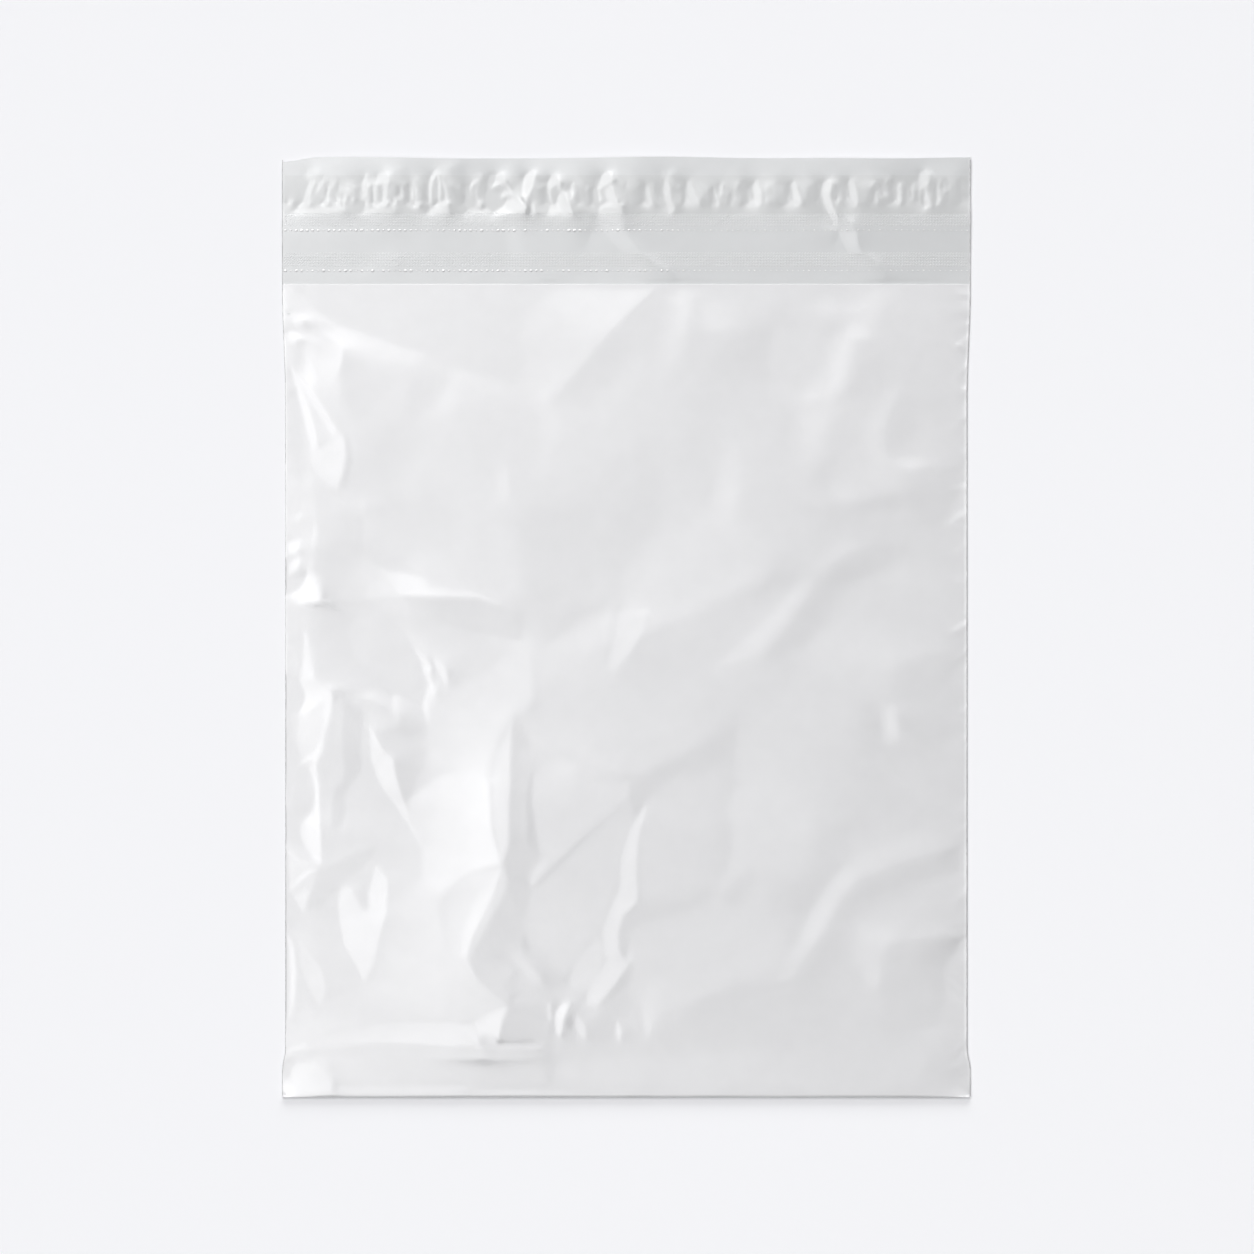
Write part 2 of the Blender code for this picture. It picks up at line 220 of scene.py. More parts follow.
    Facet("flame", 0.4, (376, 866, 9, 388, 878, 10, 386, 915, 10, 380, 935, 9, 374, 962, 9, 364, 982, 7,
        356, 966, 8, 344, 946, 9, 337, 911, 10, 340, 889, 10, 350, 889, 10, 360, 905, 7, 367, 911, 6,
        370, 884, 8)),
    Facet("flame notch", 0.5, (352, 885, 0, 366, 888, -3, 368, 908, -2, 360, 902, 0)),
    Facet("low patch", 0.5, (297, 938, 4, 309, 954, 6, 321, 968, 7, 326, 993, 8, 319, 1008, 6, 309, 989, 5,
        299, 962, 4)),
    Facet("edge lens", 0.4, (287, 935, 8, 293, 945, 9, 296, 970, 9, 294, 1000, 9, 288, 1025, 8)),
    Facet("low calm", 2.5, (370, 985, 5, 400, 890, 4, 425, 880, 6, 437, 900, 7, 445, 930, 7, 458, 980, 8,
        455, 1022, 8, 388, 1022, 6, 300, 1035, 5, 300, 1015, 4, 364, 985, 4)),
    # The tall fold.
    Facet("tall head", 1.2, (505, 655, 3, 524, 648, 3.5, 533, 668, 3.5, 533, 700, 3, 522, 712, 4,
        505, 700, 4, 480, 690, 2)),
    Facet("tall upper flank", 2.5, (427, 700, 2, 445, 690, 2, 515, 660, 3, 521, 690, 4, 512, 716, 5,
        497, 745, 7, 490, 775, 8, 474, 772, 7, 438, 776, 6, 418, 800, 4, 428, 750, 3)),
    Facet("tall flank", 1.2, (407, 801, 7, 438, 774, 8, 474, 770, 9, 490, 780, 12, 492, 829, 14,
        503, 864, 15, 484, 868, 12, 466, 875, 10, 438, 899, 7, 423, 880, 7, 421, 844, 7, 407, 817, 6)),
    Facet("tall second facet", 0.4, (512, 720, 5, 511, 758, 6, 510, 800, 6, 509, 845, 7, 503, 864, 8,
        494, 822, 8, 492, 782, 7, 496, 755, 5)),
    Facet("tall shade", 0.6, (513, 716, -3, 530, 728, -2, 532, 758, -2, 526, 797, -2, 526, 844, -2,
        540, 852, -1, 528, 885, -3, 525, 923, -3, 515, 940, -2, 505, 876, -4, 509, 850, -4, 511, 758, -4)),
    Facet("low flank", 0.9, (503, 866, 9, 494, 890, 9, 482, 912, 9, 470, 938, 9, 462, 958, 8, 464, 970, 7,
        448, 960, 6, 440, 920, 4, 445, 893, 4, 466, 875, 8)),
    Facet("low crest", 0.4, (503, 866, 12, 495, 890, 11, 483, 915, 11, 472, 938, 12, 465, 960, 13,
        475, 979, 12, 478, 980, 11, 467, 962, 11, 463, 945, 9, 461, 965, 9, 461, 940, 9, 471, 912, 9,
        486, 886, 9)),
    Facet("low second strip", 0.4, (504, 868, 3, 509, 880, 3, 498, 905, 4, 481, 935, 4, 470, 956, 4,
        483, 918, 6)),
    Facet("low shade", 0.7, (509, 885, -1.5, 525, 923, -1.5, 520, 960, -1.5, 500, 985, -1.5, 511, 1003, -2,
        496, 992, -2, 476, 974, -2, 470, 959, -2.5, 485, 932, -2.5, 500, 902, -2)),
    Facet("knee panel", 1.2, (440, 950, 6, 458, 955, 7, 475, 981, 7, 509, 1003, 6, 490, 1012, 6,
        474, 1020, 6, 446, 1022, 6)),
    Facet("knee", 0.4, (474, 1020, 8, 489, 1011, 8, 510, 1004, 10, 502, 1022, 11, 499, 1042, 11,
        486, 1036, 9, 477, 1034, 9)),
    Facet("knee shade", 0.8, (510, 1004, -2, 530, 990, -1.5, 548, 1003, -1.5, 548, 1034, -2,
        515, 1038, -2.5, 503, 1042, -3, 503, 1022, -3)),
    Facet("fine crease", 0.3, (457, 983, 7, 460, 983, 7, 459, 1012, 7, 456, 1012, 7)),
    # The bottom band.
    Facet("above the band", 0.5, (300, 1044, 3, 364, 1026, 5, 400, 1022, 8, 450, 1022, 9, 474, 1024, 9,
        480, 1044, 9, 501, 1048, 10, 446, 1046, 9, 400, 1043, 8), 150),
    Facet("band shade", 0.5, (288, 1050, -3, 387, 1047, -6, 501, 1049, -5, 544, 1051, -3, 552, 1056, -1,
        505, 1058, -2, 387, 1057, -4, 293, 1056, -3), 100),
    Facet("band line", 0.3, (480, 1045, 7, 535, 1044, 8, 545, 1048, 8, 505, 1049, 8), 100),
    Facet("band line end", 0.5, (545, 1051, -6, 558, 1038, -5, 558, 1048, -5, 548, 1060, -5), 100),
    Facet("corner gather", 0.4, (288, 1048, 7, 303, 1044, 7, 312, 1049, 5, 288, 1051, 6), 125),
    Facet("corner sheen", 0.35, (289, 1063, 8, 313, 1063, 8, 331, 1077, 8, 337, 1092, 7, 313, 1095, 7,
        297, 1085, 7, 290, 1075, 7), 150),
    Facet("bottom roll sheen", 0.3, (331, 1085, 7, 420, 1085, 10, 465, 1085, 10, 470, 1090, 3, 575, 1091, 2,
        575, 1094, 2, 470, 1094, 3, 420, 1094, 11, 331, 1094, 10), 95),
    Facet("band left", 3, (335, 1066, 1.5, 500, 1066, 1.5, 545, 1066, 1, 545, 1082, 1, 337, 1082, 2)),
    Facet("bottom right ground", 4, (556, 1058, 2, 960, 1050, 2.2, 940, 1090, 1.8, 556, 1084, 2)),
    Facet("band right corner", 1.8, (922, 1064, -2.8, 942, 1042, -3.8, 964, 1051, -4.8, 967, 1092, -4.8,
        916, 1092, -3.8)),
    # The upper right.
    Facet("vee", 1, (447, 286, 2, 655, 288, 3.5, 620, 322, 3.5, 600, 343, 3.5, 577, 372, 3.5, 550, 400, 3,
        545, 420, 2.5, 535, 412, 2, 520, 382, 2, 500, 352, 2, 465, 316, 2)),
    Facet("vee foot shade", 4, (450, 345, -1, 500, 352, -1.5, 535, 412, -1.5, 530, 470, -1.5, 500, 470, -1,
        460, 420, -1)),
    Facet("vee streak", 2.5, (452, 292, 3, 470, 295, 4, 505, 340, 4, 500, 350, 3, 475, 325, 3)),
    Facet("under the vee", 2, (655, 290, -0.5, 690, 292, 0.5, 668, 345, 0, 660, 370, 0, 640, 400, 0,
        610, 440, 0, 590, 445, 0, 550, 402, -1, 577, 374, -1, 602, 345, -1)),
    Facet("left of the third band", 4, (600, 450, -1, 650, 450, -1, 660, 520, -1, 640, 560, -1.5,
        620, 620, -2, 595, 640, -1, 590, 560, -1)),
    Facet("pale streak", 3.5, (645, 360, 1.5, 628, 362, 1.5, 596, 405, 1.5, 590, 425, 1, 610, 420, 1,
        640, 385, 1.5)),
    Facet("lens", 1.3, (673, 292, 4, 686, 293, 4, 690, 320, 5, 688, 338, 4, 668, 338, 3, 672, 310, 3)),
    Facet("lens foot", 2.2, (668, 338, 2.5, 688, 340, 2.5, 675, 362, 2.5, 662, 366, 2)),
    Facet("lens tail", 3.5, (660, 366, 1, 676, 362, 1, 655, 395, 1, 630, 430, 0, 622, 425, 0, 640, 395, 1)),
    Facet("lens back", 3.5, (695, 320, -1, 712, 380, -2, 705, 440, -3, 695, 465, -3, 690, 440, -2,
        700, 380, -2, 690, 350, -2)),
    Facet("upper right panel", 5, (697, 288, 1.5, 800, 290, 1.5, 800, 325, 1, 720, 320, 1)),
    Facet("panel left of the streak", 4, (790, 300, 2, 838, 300, 3, 825, 345, 3, 805, 390, 2, 785, 380, 2)),
    Facet("right streak head", 2.5, (845, 290, 3.5, 885, 290, 3.5, 874, 328, 4, 855, 335, 4)),
    Facet("right streak flank", 2.5, (834, 330, 4, 822, 398, 4, 808, 410, 3, 801, 395, 2)),
    Facet("right streak foot", 2.5, (798, 408, 3.5, 833, 412, 4, 822, 455, 3.5, 808, 470, 3,
        798, 450, 2.5)),
    Facet("right streak", 1.8, (836, 328, 6, 858, 334, 7, 848, 380, 7, 835, 402, 6, 822, 395, 5)),
    Facet("right edge bend", 2, (865, 425, 3, 880, 412, 3, 895, 385, 4, 900, 390, 4, 885, 425, 4,
        884, 455, 4, 897, 490, 4, 880, 490, 2, 868, 455, 2)),
    Facet("right edge shade", 1.3, (897, 395, -2.8, 906, 400, -2.8, 920, 420, -2.8, 900, 470, -3.8,
        888, 450, -2.8, 883, 430, -2.8)),
    Facet("right edge hollow", 1.3, (905, 466, -3.8, 965, 468, -4.8, 960, 490, -4.8, 940, 530, -3.8,
        915, 495, -3.8)),
    Facet("right step", 2, (830, 470, 2, 890, 470, 2, 898, 492, 2.5, 840, 499, 2.5)),
    Facet("right step shade", 2.5, (795, 503, -2, 893, 500, -3, 893, 512, -2, 800, 516, -1)),
    Facet("third band", 1.4, (727, 437, 2, 737, 445, 2.5, 741, 488, 4, 737, 517, 4, 722, 520, 3.5,
        712, 500, 3.5, 722, 465, 2.5)),
    Facet("third band foot", 1.8, (686, 517, 2, 737, 517, 2.5, 772, 555, 2, 772, 571, 2, 724, 597, 2,
        679, 616, 1.5, 641, 635, 1, 634, 587, 1, 654, 558, 2)),
    Facet("third band left", 2.5, (620, 580, 1, 640, 550, 1, 668, 520, 2, 672, 535, 2, 655, 560, 1,
        634, 590, 1)),
    Facet("third band crest", 3, (640, 570, 2, 660, 566, 2, 664, 584, 2, 640, 588, 2)),
    Facet("middle patch", 1.1, (618, 610, 4, 644, 610, 5, 646, 626, 5, 628, 655, 6, 612, 674, 5,
        609, 664, 4, 615, 632, 4)),
    Facet("left of the middle patch", 2.2, (545, 648, 1, 600, 612, 3, 615, 606, 4, 613, 640, 4, 595, 652, 2,
        577, 664, 1, 548, 680, 0, 535, 680, 0)),
    Facet("third band shade", 2.2, (679, 626, -1, 772, 578, -2, 788, 568, -1, 766, 603, -1, 724, 638, -1,
        692, 648, -1)),
    Facet("middle patch shade", 2.5, (618, 664, -1, 676, 635, -1, 673, 674, -1, 628, 693, -1)),
    Facet("second roll", 1.6, (801, 578, 3, 813, 587, 3.5, 778, 629, 4, 759, 658, 4, 737, 661, 3.5,
        705, 674, 3, 737, 645, 3, 769, 616, 3)),
    Facet("second roll foot", 2.5, (676, 677, 1, 756, 658, 1, 750, 700, 1, 673, 700, 0)),
    Facet("long roll shade", 1.6, (855, 549, -4, 884, 546, -4, 894, 568, -4, 852, 581, -4, 833, 600, -5,
        820, 626, -4, 807, 642, -4, 782, 658, -3, 766, 654, -3, 807, 600, -5, 839, 562, -5)),
    Facet("long roll panel", 4, (840, 590, 0.7, 895, 588, 0.7, 897, 655, 0.7, 838, 655, 0.7)),
    Facet("right column shade", 3, (900, 661, -2.8, 964, 648, -4.8, 964, 700, -3.8, 890, 700, -2.8)),
    Facet("right column spot", 1.5, (938, 664, -5.8, 955, 662, -6.8, 955, 682, -6.8, 940, 682, -5.8)),
    # The lower right.
    Facet("calm beside the tall fold", 3, (535, 690, 0, 745, 690, 0, 720, 730, 0, 640, 770, 0,
        560, 745, 0)),
    Facet("light line from the tall fold", 1.3, (522, 725, 3, 535, 734, 4, 574, 757, 5, 596, 760, 4,
        625, 776, 3, 564, 773, 3, 532, 750, 3)),
    Facet("tall back panel", 1.1, (535, 772, 1.2, 628, 785, 1.2, 628, 798, 1.5, 580, 838, 1.5,
        532, 886, 2.5, 531, 870, 2, 541, 850, 1, 532, 800, 1)),
    Facet("tall back gather", 0.8, (532, 885, 5, 551, 859, 6, 542, 859, 5, 529, 878, 5)),
    Facet("under the back panel", 2, (532, 891, 1, 628, 802, 0, 634, 815, 0, 621, 872, 1, 605, 923, 1,
        564, 974, 2, 532, 952, 2, 525, 923, 2)),
    Facet("low pale patch", 1.8, (506, 955, 4, 519, 949, 4, 541, 977, 4, 535, 984, 3)),
    Facet("beside the curve", 2.2, (647, 808, -1, 679, 776, -1, 724, 776, -1, 724, 840, -1, 718, 885, -0.5,
        679, 901, 0.5, 641, 904, 0, 638, 872, 0, 641, 834, -0.5)),
    Facet("curve", 0.6, (646, 803, 5, 647, 808, 6, 638, 837, 7, 636, 872, 7, 638, 901, 7, 623, 914, 7,
        618, 933, 7, 621, 955, 7, 627, 958, 6, 631, 943, 6, 636, 958, 6, 620, 972, 6, 604, 955, 5,
        602, 930, 5, 612, 905, 6, 620, 885, 6, 621, 860, 6, 630, 828, 5)),
    Facet("curve tail", 0.7, (606, 958, 6, 628, 965, 7, 612, 987, 7, 596, 1006, 7, 586, 1003, 6,
        590, 984, 6, 602, 968, 6)),
    Facet("left of the curve tail", 1.5, (600, 935, 4, 604, 955, 5, 600, 972, 5, 585, 990, 4, 570, 985, 3,
        575, 960, 3)),
    Facet("curve hook shade", 0.8, (625, 920, -4, 638, 910, -3, 650, 914, -2, 634, 933, -4, 628, 946, -5,
        625, 958, -5, 618, 946, -4)),
    Facet("curve tail shade", 1.3, (580, 1026, -3, 628, 987, -2, 634, 1000, -2, 622, 1032, -3,
        590, 1035, -3)),
    Facet("soft rib", 1.8, (737, 789, 2, 756, 789, 2, 750, 834, 2, 743, 872, 2, 721, 898, 1.5, 711, 904, 1,
        727, 872, 2, 734, 834, 2, 730, 808, 2)),
    Facet("soft rib shade", 1.8, (743, 872, -2, 746, 898, -2, 727, 911, -2, 718, 900, -2)),
    Facet("dull spot", 2.5, (814, 824, -3, 846, 824, -3, 846, 859, -3, 820, 859, -3)),
    Facet("middle low panel", 3, (628, 930, 1, 718, 904, 1.5, 788, 923, 1.5, 794, 968, 2, 724, 984, 2,
        666, 1013, 2, 634, 1000, 2, 631, 968, 1.5)),
    Facet("diagonal head", 2.2, (846, 859, 3.5, 916, 834, 3.5, 948, 818, 3.5, 916, 846, 3.5, 884, 869, 3.5,
        855, 885, 4), 135),
    Facet("diagonal", 1.1, (842, 866, 5, 852, 872, 6, 855, 885, 6.5, 839, 904, 6.5, 823, 933, 5,
        807, 955, 4.5, 791, 981, 4, 772, 981, 2, 788, 968, 3, 798, 936, 3, 820, 891, 4)),
    Facet("diagonal shade", 1.3, (855, 885, -4, 884, 872, -5, 961, 843, -8, 961, 872, -6, 916, 885, -5,
        874, 898, -4, 846, 917, -4, 823, 936, -3, 807, 965, -3, 788, 987, -3, 766, 997, -2, 705, 1013, -2,
        724, 987, -2, 788, 981, -3, 820, 942, -3, 839, 910, -4)),
    Facet("hollow rim", 1.8, (855, 923, 2, 884, 904, 2.5, 926, 898, 3, 910, 923, 3, 887, 942, 3,
        878, 968, 3, 881, 994, 2.5, 871, 987, 2.5, 852, 955, 2)),
    Facet("hollow glint", 0.6, (873, 968, 7, 880, 966, 7, 880, 984, 7, 875, 985, 6)),
    Facet("hollow", 1.4, (894, 942, -3.8, 942, 936, -6.8, 964, 933, -10.8, 961, 946, -10.8, 945, 968, -6.8,
        948, 1000, -4.8, 935, 1026, -4.8, 890, 1035, -4.8, 881, 994, -3.8, 884, 962, -3.8)),
    Facet("hook foot", 1.8, (887, 750, 5, 922, 776, 3, 913, 782, 3, 890, 760, 4)),
    Facet("hook", 0.9, (884, 702, 7, 897, 709, 9, 898, 734, 9, 887, 750, 8, 882, 722, 8)),
    Facet("hook left shade", 1.4, (862, 722, -2.9, 881, 718, -3.9, 884, 750, -3.9, 913, 786, -2.9,
        935, 808, -2.9, 913, 795, -2.9, 878, 773, -2.9, 862, 747, -2.9)),
    Facet("hook right shade", 1.8, (900, 690, -2.8, 954, 686, -3.8, 964, 699, -3.8, 961, 734, -2.8,
        935, 750, -2.8, 903, 731, -2.8, 898, 709, -2.8)),
    Facet("foot pucker one", 0.3, (547, 1003, 6, 551, 1003, 6, 552, 1020, 7, 548, 1020, 6)),
    Facet("foot pucker two", 0.35, (564, 1000, 8, 570, 1003, 9, 564, 1019, 14, 561, 1035, 14, 556, 1032, 12,
        554, 1013, 10)),
    Facet("foot pucker three", 0.35, (577, 1013, 5, 586, 1026, 7, 586, 1037, 8, 580, 1035, 7,
        574, 1026, 6)),
    Facet("foot pucker four", 0.35, (617, 1019, 6, 622, 1029, 8, 620, 1040, 10, 617, 1038, 10,
        615, 1029, 7)),
    Facet("foot pucker five", 0.9, (647, 981, 3, 660, 987, 4, 657, 1019, 5, 648, 1036, 8, 645, 1030, 5,
        640, 1000, 3)),
)

LIP_FACETS: tuple[Facet, ...] = (
    # The gathers at the left.
    Facet("soft top", 1.2, (306, 168, 5, 318, 168, 5, 318, 178, 5, 308, 180, 4)),
    Facet("small tooth", 0.3, (287, 198, 10.5, 291, 199, 12, 293, 204, 13.5, 287, 204, 10.5)),
    Facet("long lean gather", 0.35, (309, 180, 9.5, 314, 181, 10.5, 308, 199, 14, 311, 205, 16.5,
        298, 205, 15, 304, 199, 14)),
    Facet("second lean gather", 0.5, (320, 178, 5, 325, 179, 5.5, 318, 192, 5.5, 315, 192, 5)),
    Facet("hollow", 0.3, (325, 186, -11, 328, 187, -13, 327, 200, -11, 324, 200, -11)),
    Facet("gather", 0.3, (328, 184, 7, 331, 186, 9.5, 327.5, 197, 13.5, 328, 204, 15, 321, 204, 15,
        325.5, 198, 13.5)),
    Facet("hollow", 0.35, (335, 181, -8, 339, 182, -10.5, 338, 190, -8, 335.5, 190, -7.5)),
    Facet("tooth", 0.3, (336, 195, 9.5, 339, 197, 12, 341, 203, 15, 337, 203, 13.5)),
    Facet("tooth", 0.3, (343.5, 194, 8.5, 346, 195, 10.5, 345.5, 202, 12, 343.5, 202, 10.5)),
    Facet("soft dark", 1, (351, 180, -4, 360, 178, -5.5, 361, 204, -7, 352, 207, -4.5)),
    Facet("tooth", 0.3, (351, 196, 9.5, 354, 196, 10.5, 354, 201, 12, 351.5, 201, 10.5)),
    Facet("hollow", 0.4, (355, 184, -11, 359, 187, -13, 359, 198, -13, 356, 201, -13, 354.5, 192, -11)),
    Facet("light foot", 0.8, (290, 213.5, 5, 299, 205, 5.5, 343, 205, 5, 345, 213.5, 5)),
    # The second group of gathers.
    Facet("soft dark", 1, (394, 170, -4, 408, 168, -4, 410, 205, -4.5, 396, 206, -4.5, 392, 190, -3)),
    Facet("group light", 0.6, (365, 176, 5, 376, 177, 4, 376, 186, 2.5, 365, 188, 5.5)),
    Facet("gather left", 0.3, (361.5, 183, 10.5, 364, 177, 10.5, 366, 171, 10.5, 368, 172, 8.5,
        366.5, 182, 10.5, 367, 194, 12, 364, 197, 12)),
    Facet("hollow", 0.35, (369, 185, -7, 373, 184, -8, 373.5, 202, -9.5, 369, 202, -8, 370, 195, -7)),
    Facet("gather middle", 0.3, (373.8, 181, 10.5, 376.3, 181, 13.5, 375.5, 204, 14, 373.5, 204, 13.5)),
    Facet("gather top", 0.5, (378, 173, 8.5, 387, 171, 12, 390, 180, 12, 387, 186, 12, 380, 183, 9.5,
        376.5, 182, 9.5)),
    Facet("hollow", 0.3, (378.5, 186, -3, 382.5, 186, -4, 382, 198, -4, 379, 200, -3)),
    Facet("gather right", 0.3, (383, 184, 12, 387.5, 185, 14, 386.5, 196, 14, 384, 202, 14, 382, 202, 13.5,
        383.5, 192, 13.5)),
    Facet("foot left", 0.3, (364.5, 200, 13.5, 369, 203, 15, 371, 206, 14, 365, 206, 13.5)),
    Facet("foot right", 0.35, (376, 201, 14, 381, 203, 16.5, 386, 200, 16.5, 388, 202, 16.5, 385, 206, 15,
        377, 206, 14)),
    Facet("tooth", 0.3, (394, 196, 10.5, 396, 199, 14, 396.8, 204, 15, 394, 204, 13.5)),
    Facet("hollow", 0.3, (395, 184, -13, 399.5, 187, -13, 398.5, 196, -13, 396, 195, -11)),
    Facet("gather", 0.35, (400.7, 186, 5.5, 403, 188, 7, 403, 198, 5.5, 400.7, 197, 5.5)),
    Facet("hollow", 0.35, (404, 185, -13, 408.7, 182, -13, 408.3, 202, -13, 404, 202, -11, 405, 194, -11)),
    Facet("light foot", 0.8, (365, 206, 5.5, 395, 206, 5.5, 395, 213.5, 5, 363, 213.5, 5)),
    # The arch and the big arch.
    Facet("arch top", 0.7, (411, 176, 5, 417, 176, 5.5, 417, 183, 5.5, 411, 184, 5)),
    Facet("arch left", 0.3, (410.8, 194, 9.5, 412, 183, 10.5, 414, 182, 10.5, 413.4, 192, 12,
        413.6, 201, 12, 411.5, 202, 10.5)),
    Facet("arch right", 0.3, (414.6, 184, 9.5, 416.8, 184, 10.5, 417.8, 198, 13.5, 415.8, 199, 12)),
    Facet("arch foot", 0.3, (412.5, 205, 13.5, 416, 199.5, 16.5, 421, 205, 15, 417, 207, 14)),
    Facet("hollow", 0.4, (420, 184, -4.5, 426.5, 180, -7.5, 427, 205, -12, 422, 205, -10.5, 421, 194, -7)),
    Facet("big arch left", 0.3, (428.6, 202, 13.5, 428.8, 186, 14, 430.5, 176, 14, 434, 170, 14,
        437.3, 169, 14, 437, 174, 13.5, 433, 180, 13.5, 431.3, 190, 14, 431.3, 204, 14)),
    Facet("big arch middle", 0.3, (437, 171, 13.5, 439.5, 173, 14, 441, 186, 14, 440, 202, 15,
        437.8, 202, 14, 438.4, 186, 13.5)),
    Facet("big arch right", 0.3, (440.5, 174, 12, 443.2, 177, 14, 446.4, 186, 14, 448, 200, 15,
        446, 203, 14, 444.3, 190, 12)),
    Facet("big arch left hollow", 0.4, (432.5, 184, 0, 436.5, 180, -1, 437, 200, -2, 432.5, 201, 0)),
    Facet("big arch right hollow", 0.4, (441.5, 184, -3, 444, 188, -3, 445.2, 200, -4, 441, 201, -3)),
    Facet("big arch foot", 0.35, (434, 204, 14, 440, 200, 16.5, 448, 200.5, 16.5, 449, 205, 15,
        441, 207, 15)),
    Facet("big arch flare", 0.7, (430, 206, 8.5, 448, 206, 9.5, 449, 213.8, 7, 429, 213.8, 7)),
    Facet("soft dark", 1.2, (450, 165, -4.5, 462, 160, -4.5, 467, 170, -5.5, 467, 206, -7, 452, 208, -5.5)),
    Facet("hollow", 0.5, (452, 182, -9.5, 457, 183, -10.5, 456.5, 191, -8, 453, 190, -7.5)),
    Facet("hollow", 0.4, (458.5, 186, -13, 462.5, 183, -13, 466.5, 190, -13, 465.8, 201, -13, 461, 204, -13,
        460.3, 196, -13)),
    Facet("fifth top", 0.7, (470, 173, 5, 479, 172, 5.5, 481, 180, 5.5, 472, 182, 5)),
    Facet("fifth left", 0.3, (468.3, 201, 9.5, 468.3, 187, 10.5, 471, 181, 10.5, 475, 178, 10.5,
        478, 180, 9.5, 473, 184.5, 9.5, 471, 192, 10.5, 471.2, 204, 10.5)),
    Facet("fifth middle", 0.3, (475.3, 184, 5.5, 477.5, 184, 7, 477.3, 200, 8.5, 475.3, 200, 8.5)),
    Facet("fifth foot", 0.3, (471, 206, 13.5, 476, 198.5, 16.5, 478.8, 199, 16.5, 482, 205, 15,
        479, 207, 14)),
    Facet("fifth hollow", 0.35, (479, 185, -3, 483, 184, -4.5, 483, 200, -4.5, 480, 200, -3)),
    Facet("hollow", 0.35, (484, 184, -13, 487.8, 183, -13, 487.8, 203, -13, 484, 204, -12,
        485.2, 194, -12)),
    Facet("light foot", 0.8, (468, 206.5, 5.5, 489, 206.5, 5.5, 489, 213.5, 5, 468, 213.5, 5)),
    Facet("great crest", 0.45, (490.4, 185, 15, 492.5, 177, 16.5, 497, 172, 19, 501.5, 172, 19,
        505, 178, 18, 506, 184.5, 16.5, 499, 182.5, 16.5, 493, 186, 16.5)),
    Facet("great left", 0.3, (490, 184, 14, 492.3, 184, 15, 492.3, 195, 15, 495, 204, 15, 491.5, 202, 14)),
    Facet("great inside", 0.4, (493.5, 187, 0, 499, 185, 0, 504, 187, 0, 501, 191, 0, 496, 196, 0,
        494, 196, 0)),
    Facet("great inner crest", 0.35, (495.6, 204, 14, 496.6, 196, 15, 500, 191.4, 16.5, 507, 191.6, 16.5,
        509.6, 196, 15, 503, 195.6, 14, 500.6, 200, 14)),
    Facet("great right", 0.35, (505, 181, 14, 508.4, 183, 15, 512.6, 192, 15, 519, 199, 15, 514, 199.6, 14,
        509, 194, 14)),
    Facet("great inner hollow", 0.35, (501.5, 199, -1, 504, 197, -1, 508, 198, -2, 505, 202, -1)),
    Facet("great foot", 0.5, (491.5, 205, 16.5, 500, 203.4, 18, 504, 199.6, 18, 512, 197.6, 19,
        522, 200, 19, 526, 206, 18, 525, 213.8, 15, 493, 213.6, 15)),
    # The gathers in the middle.
    Facet("sixth", 0.45, (522.4, 197, 9.5, 522.6, 183, 10.5, 525.6, 173, 13.5, 531, 169, 14, 536, 171, 13.5,
        535, 181, 12, 530.6, 190, 10.5, 526.6, 197, 9.5)),
    Facet("sixth core", 0.4, (526.6, 182, 15, 527.6, 174, 16.5, 532, 172, 16.5, 532.4, 180, 15,
        529, 186, 14)),
    Facet("sixth foot", 0.35, (530.6, 201, 10.5, 534, 202.6, 12, 537, 213.5, 10.5, 531.6, 213.5, 10.5)),
    Facet("soft dark", 1, (534, 178, -4.5, 546.4, 176, -7.5, 546.4, 212, -7.5, 538, 212, -5.5)),
    Facet("hollow", 0.4, (539, 189, -13, 545.4, 184, -13, 545.8, 202, -13, 541, 204, -13)),
    Facet("seventh crest", 0.4, (547.8, 182, 14, 550.6, 175.6, 16.5, 557, 175.4, 18, 560.8, 181, 16.5,
        560.6, 188.5, 14, 556, 183.6, 14, 552, 185.6, 14, 549, 190, 14)),
    Facet("seventh left", 0.3, (547.6, 190, 12, 550, 190, 13.5, 551.4, 200, 15, 556, 206, 15,
        550.4, 205, 14)),
    Facet("seventh inside", 0.35, (551, 188, 0, 555, 186, 0, 558, 190, -1, 556, 198, 0, 553, 199, 0)),
    Facet("seventh flank", 0.4, (555.6, 204, 15, 557.8, 196, 16.5, 562, 190.6, 18, 565.4, 192.6, 18,
        568.4, 200, 18, 574, 213.8, 16.5, 565, 213.8, 16.5, 560.6, 206, 16.5)),
    Facet("seventh light", 0.7, (549, 206, 8.5, 562, 206, 9.5, 566, 213.6, 8.5, 548, 213.6, 7)),
    Facet("hollow", 0.35, (564.5, 183, -7.5, 569.5, 184, -9.5, 569.5, 190, -8, 566, 190, -7.5)),
    Facet("thin gather", 0.3, (571, 183.4, 8.5, 573.8, 183.4, 10.5, 573.4, 196, 9.5, 571, 197, 8.5)),
    Facet("soft dark", 1, (573, 203, -4.5, 594, 202, -5.5, 594, 213, -4.5, 576, 213, -4)),
    Facet("hollow", 0.35, (574.6, 193, -9.5, 578.6, 189, -12, 579.4, 203, -12, 575, 204.6, -11)),
    Facet("hollow", 0.4, (582, 181, -7, 587, 182, -7.5, 586, 190, -5.5, 583, 190, -4.5)),
    Facet("hollow", 0.4, (588, 188, -13, 593.9, 184.6, -13, 593.9, 202.6, -13, 589.4, 204, -13)),
    Facet("eighth crest", 0.45, (598.4, 182, 16.5, 601.6, 175, 18, 607, 170, 18, 611.4, 173, 18,
        612.8, 181, 16.5, 607, 184, 16.5, 601, 187, 16.5)),
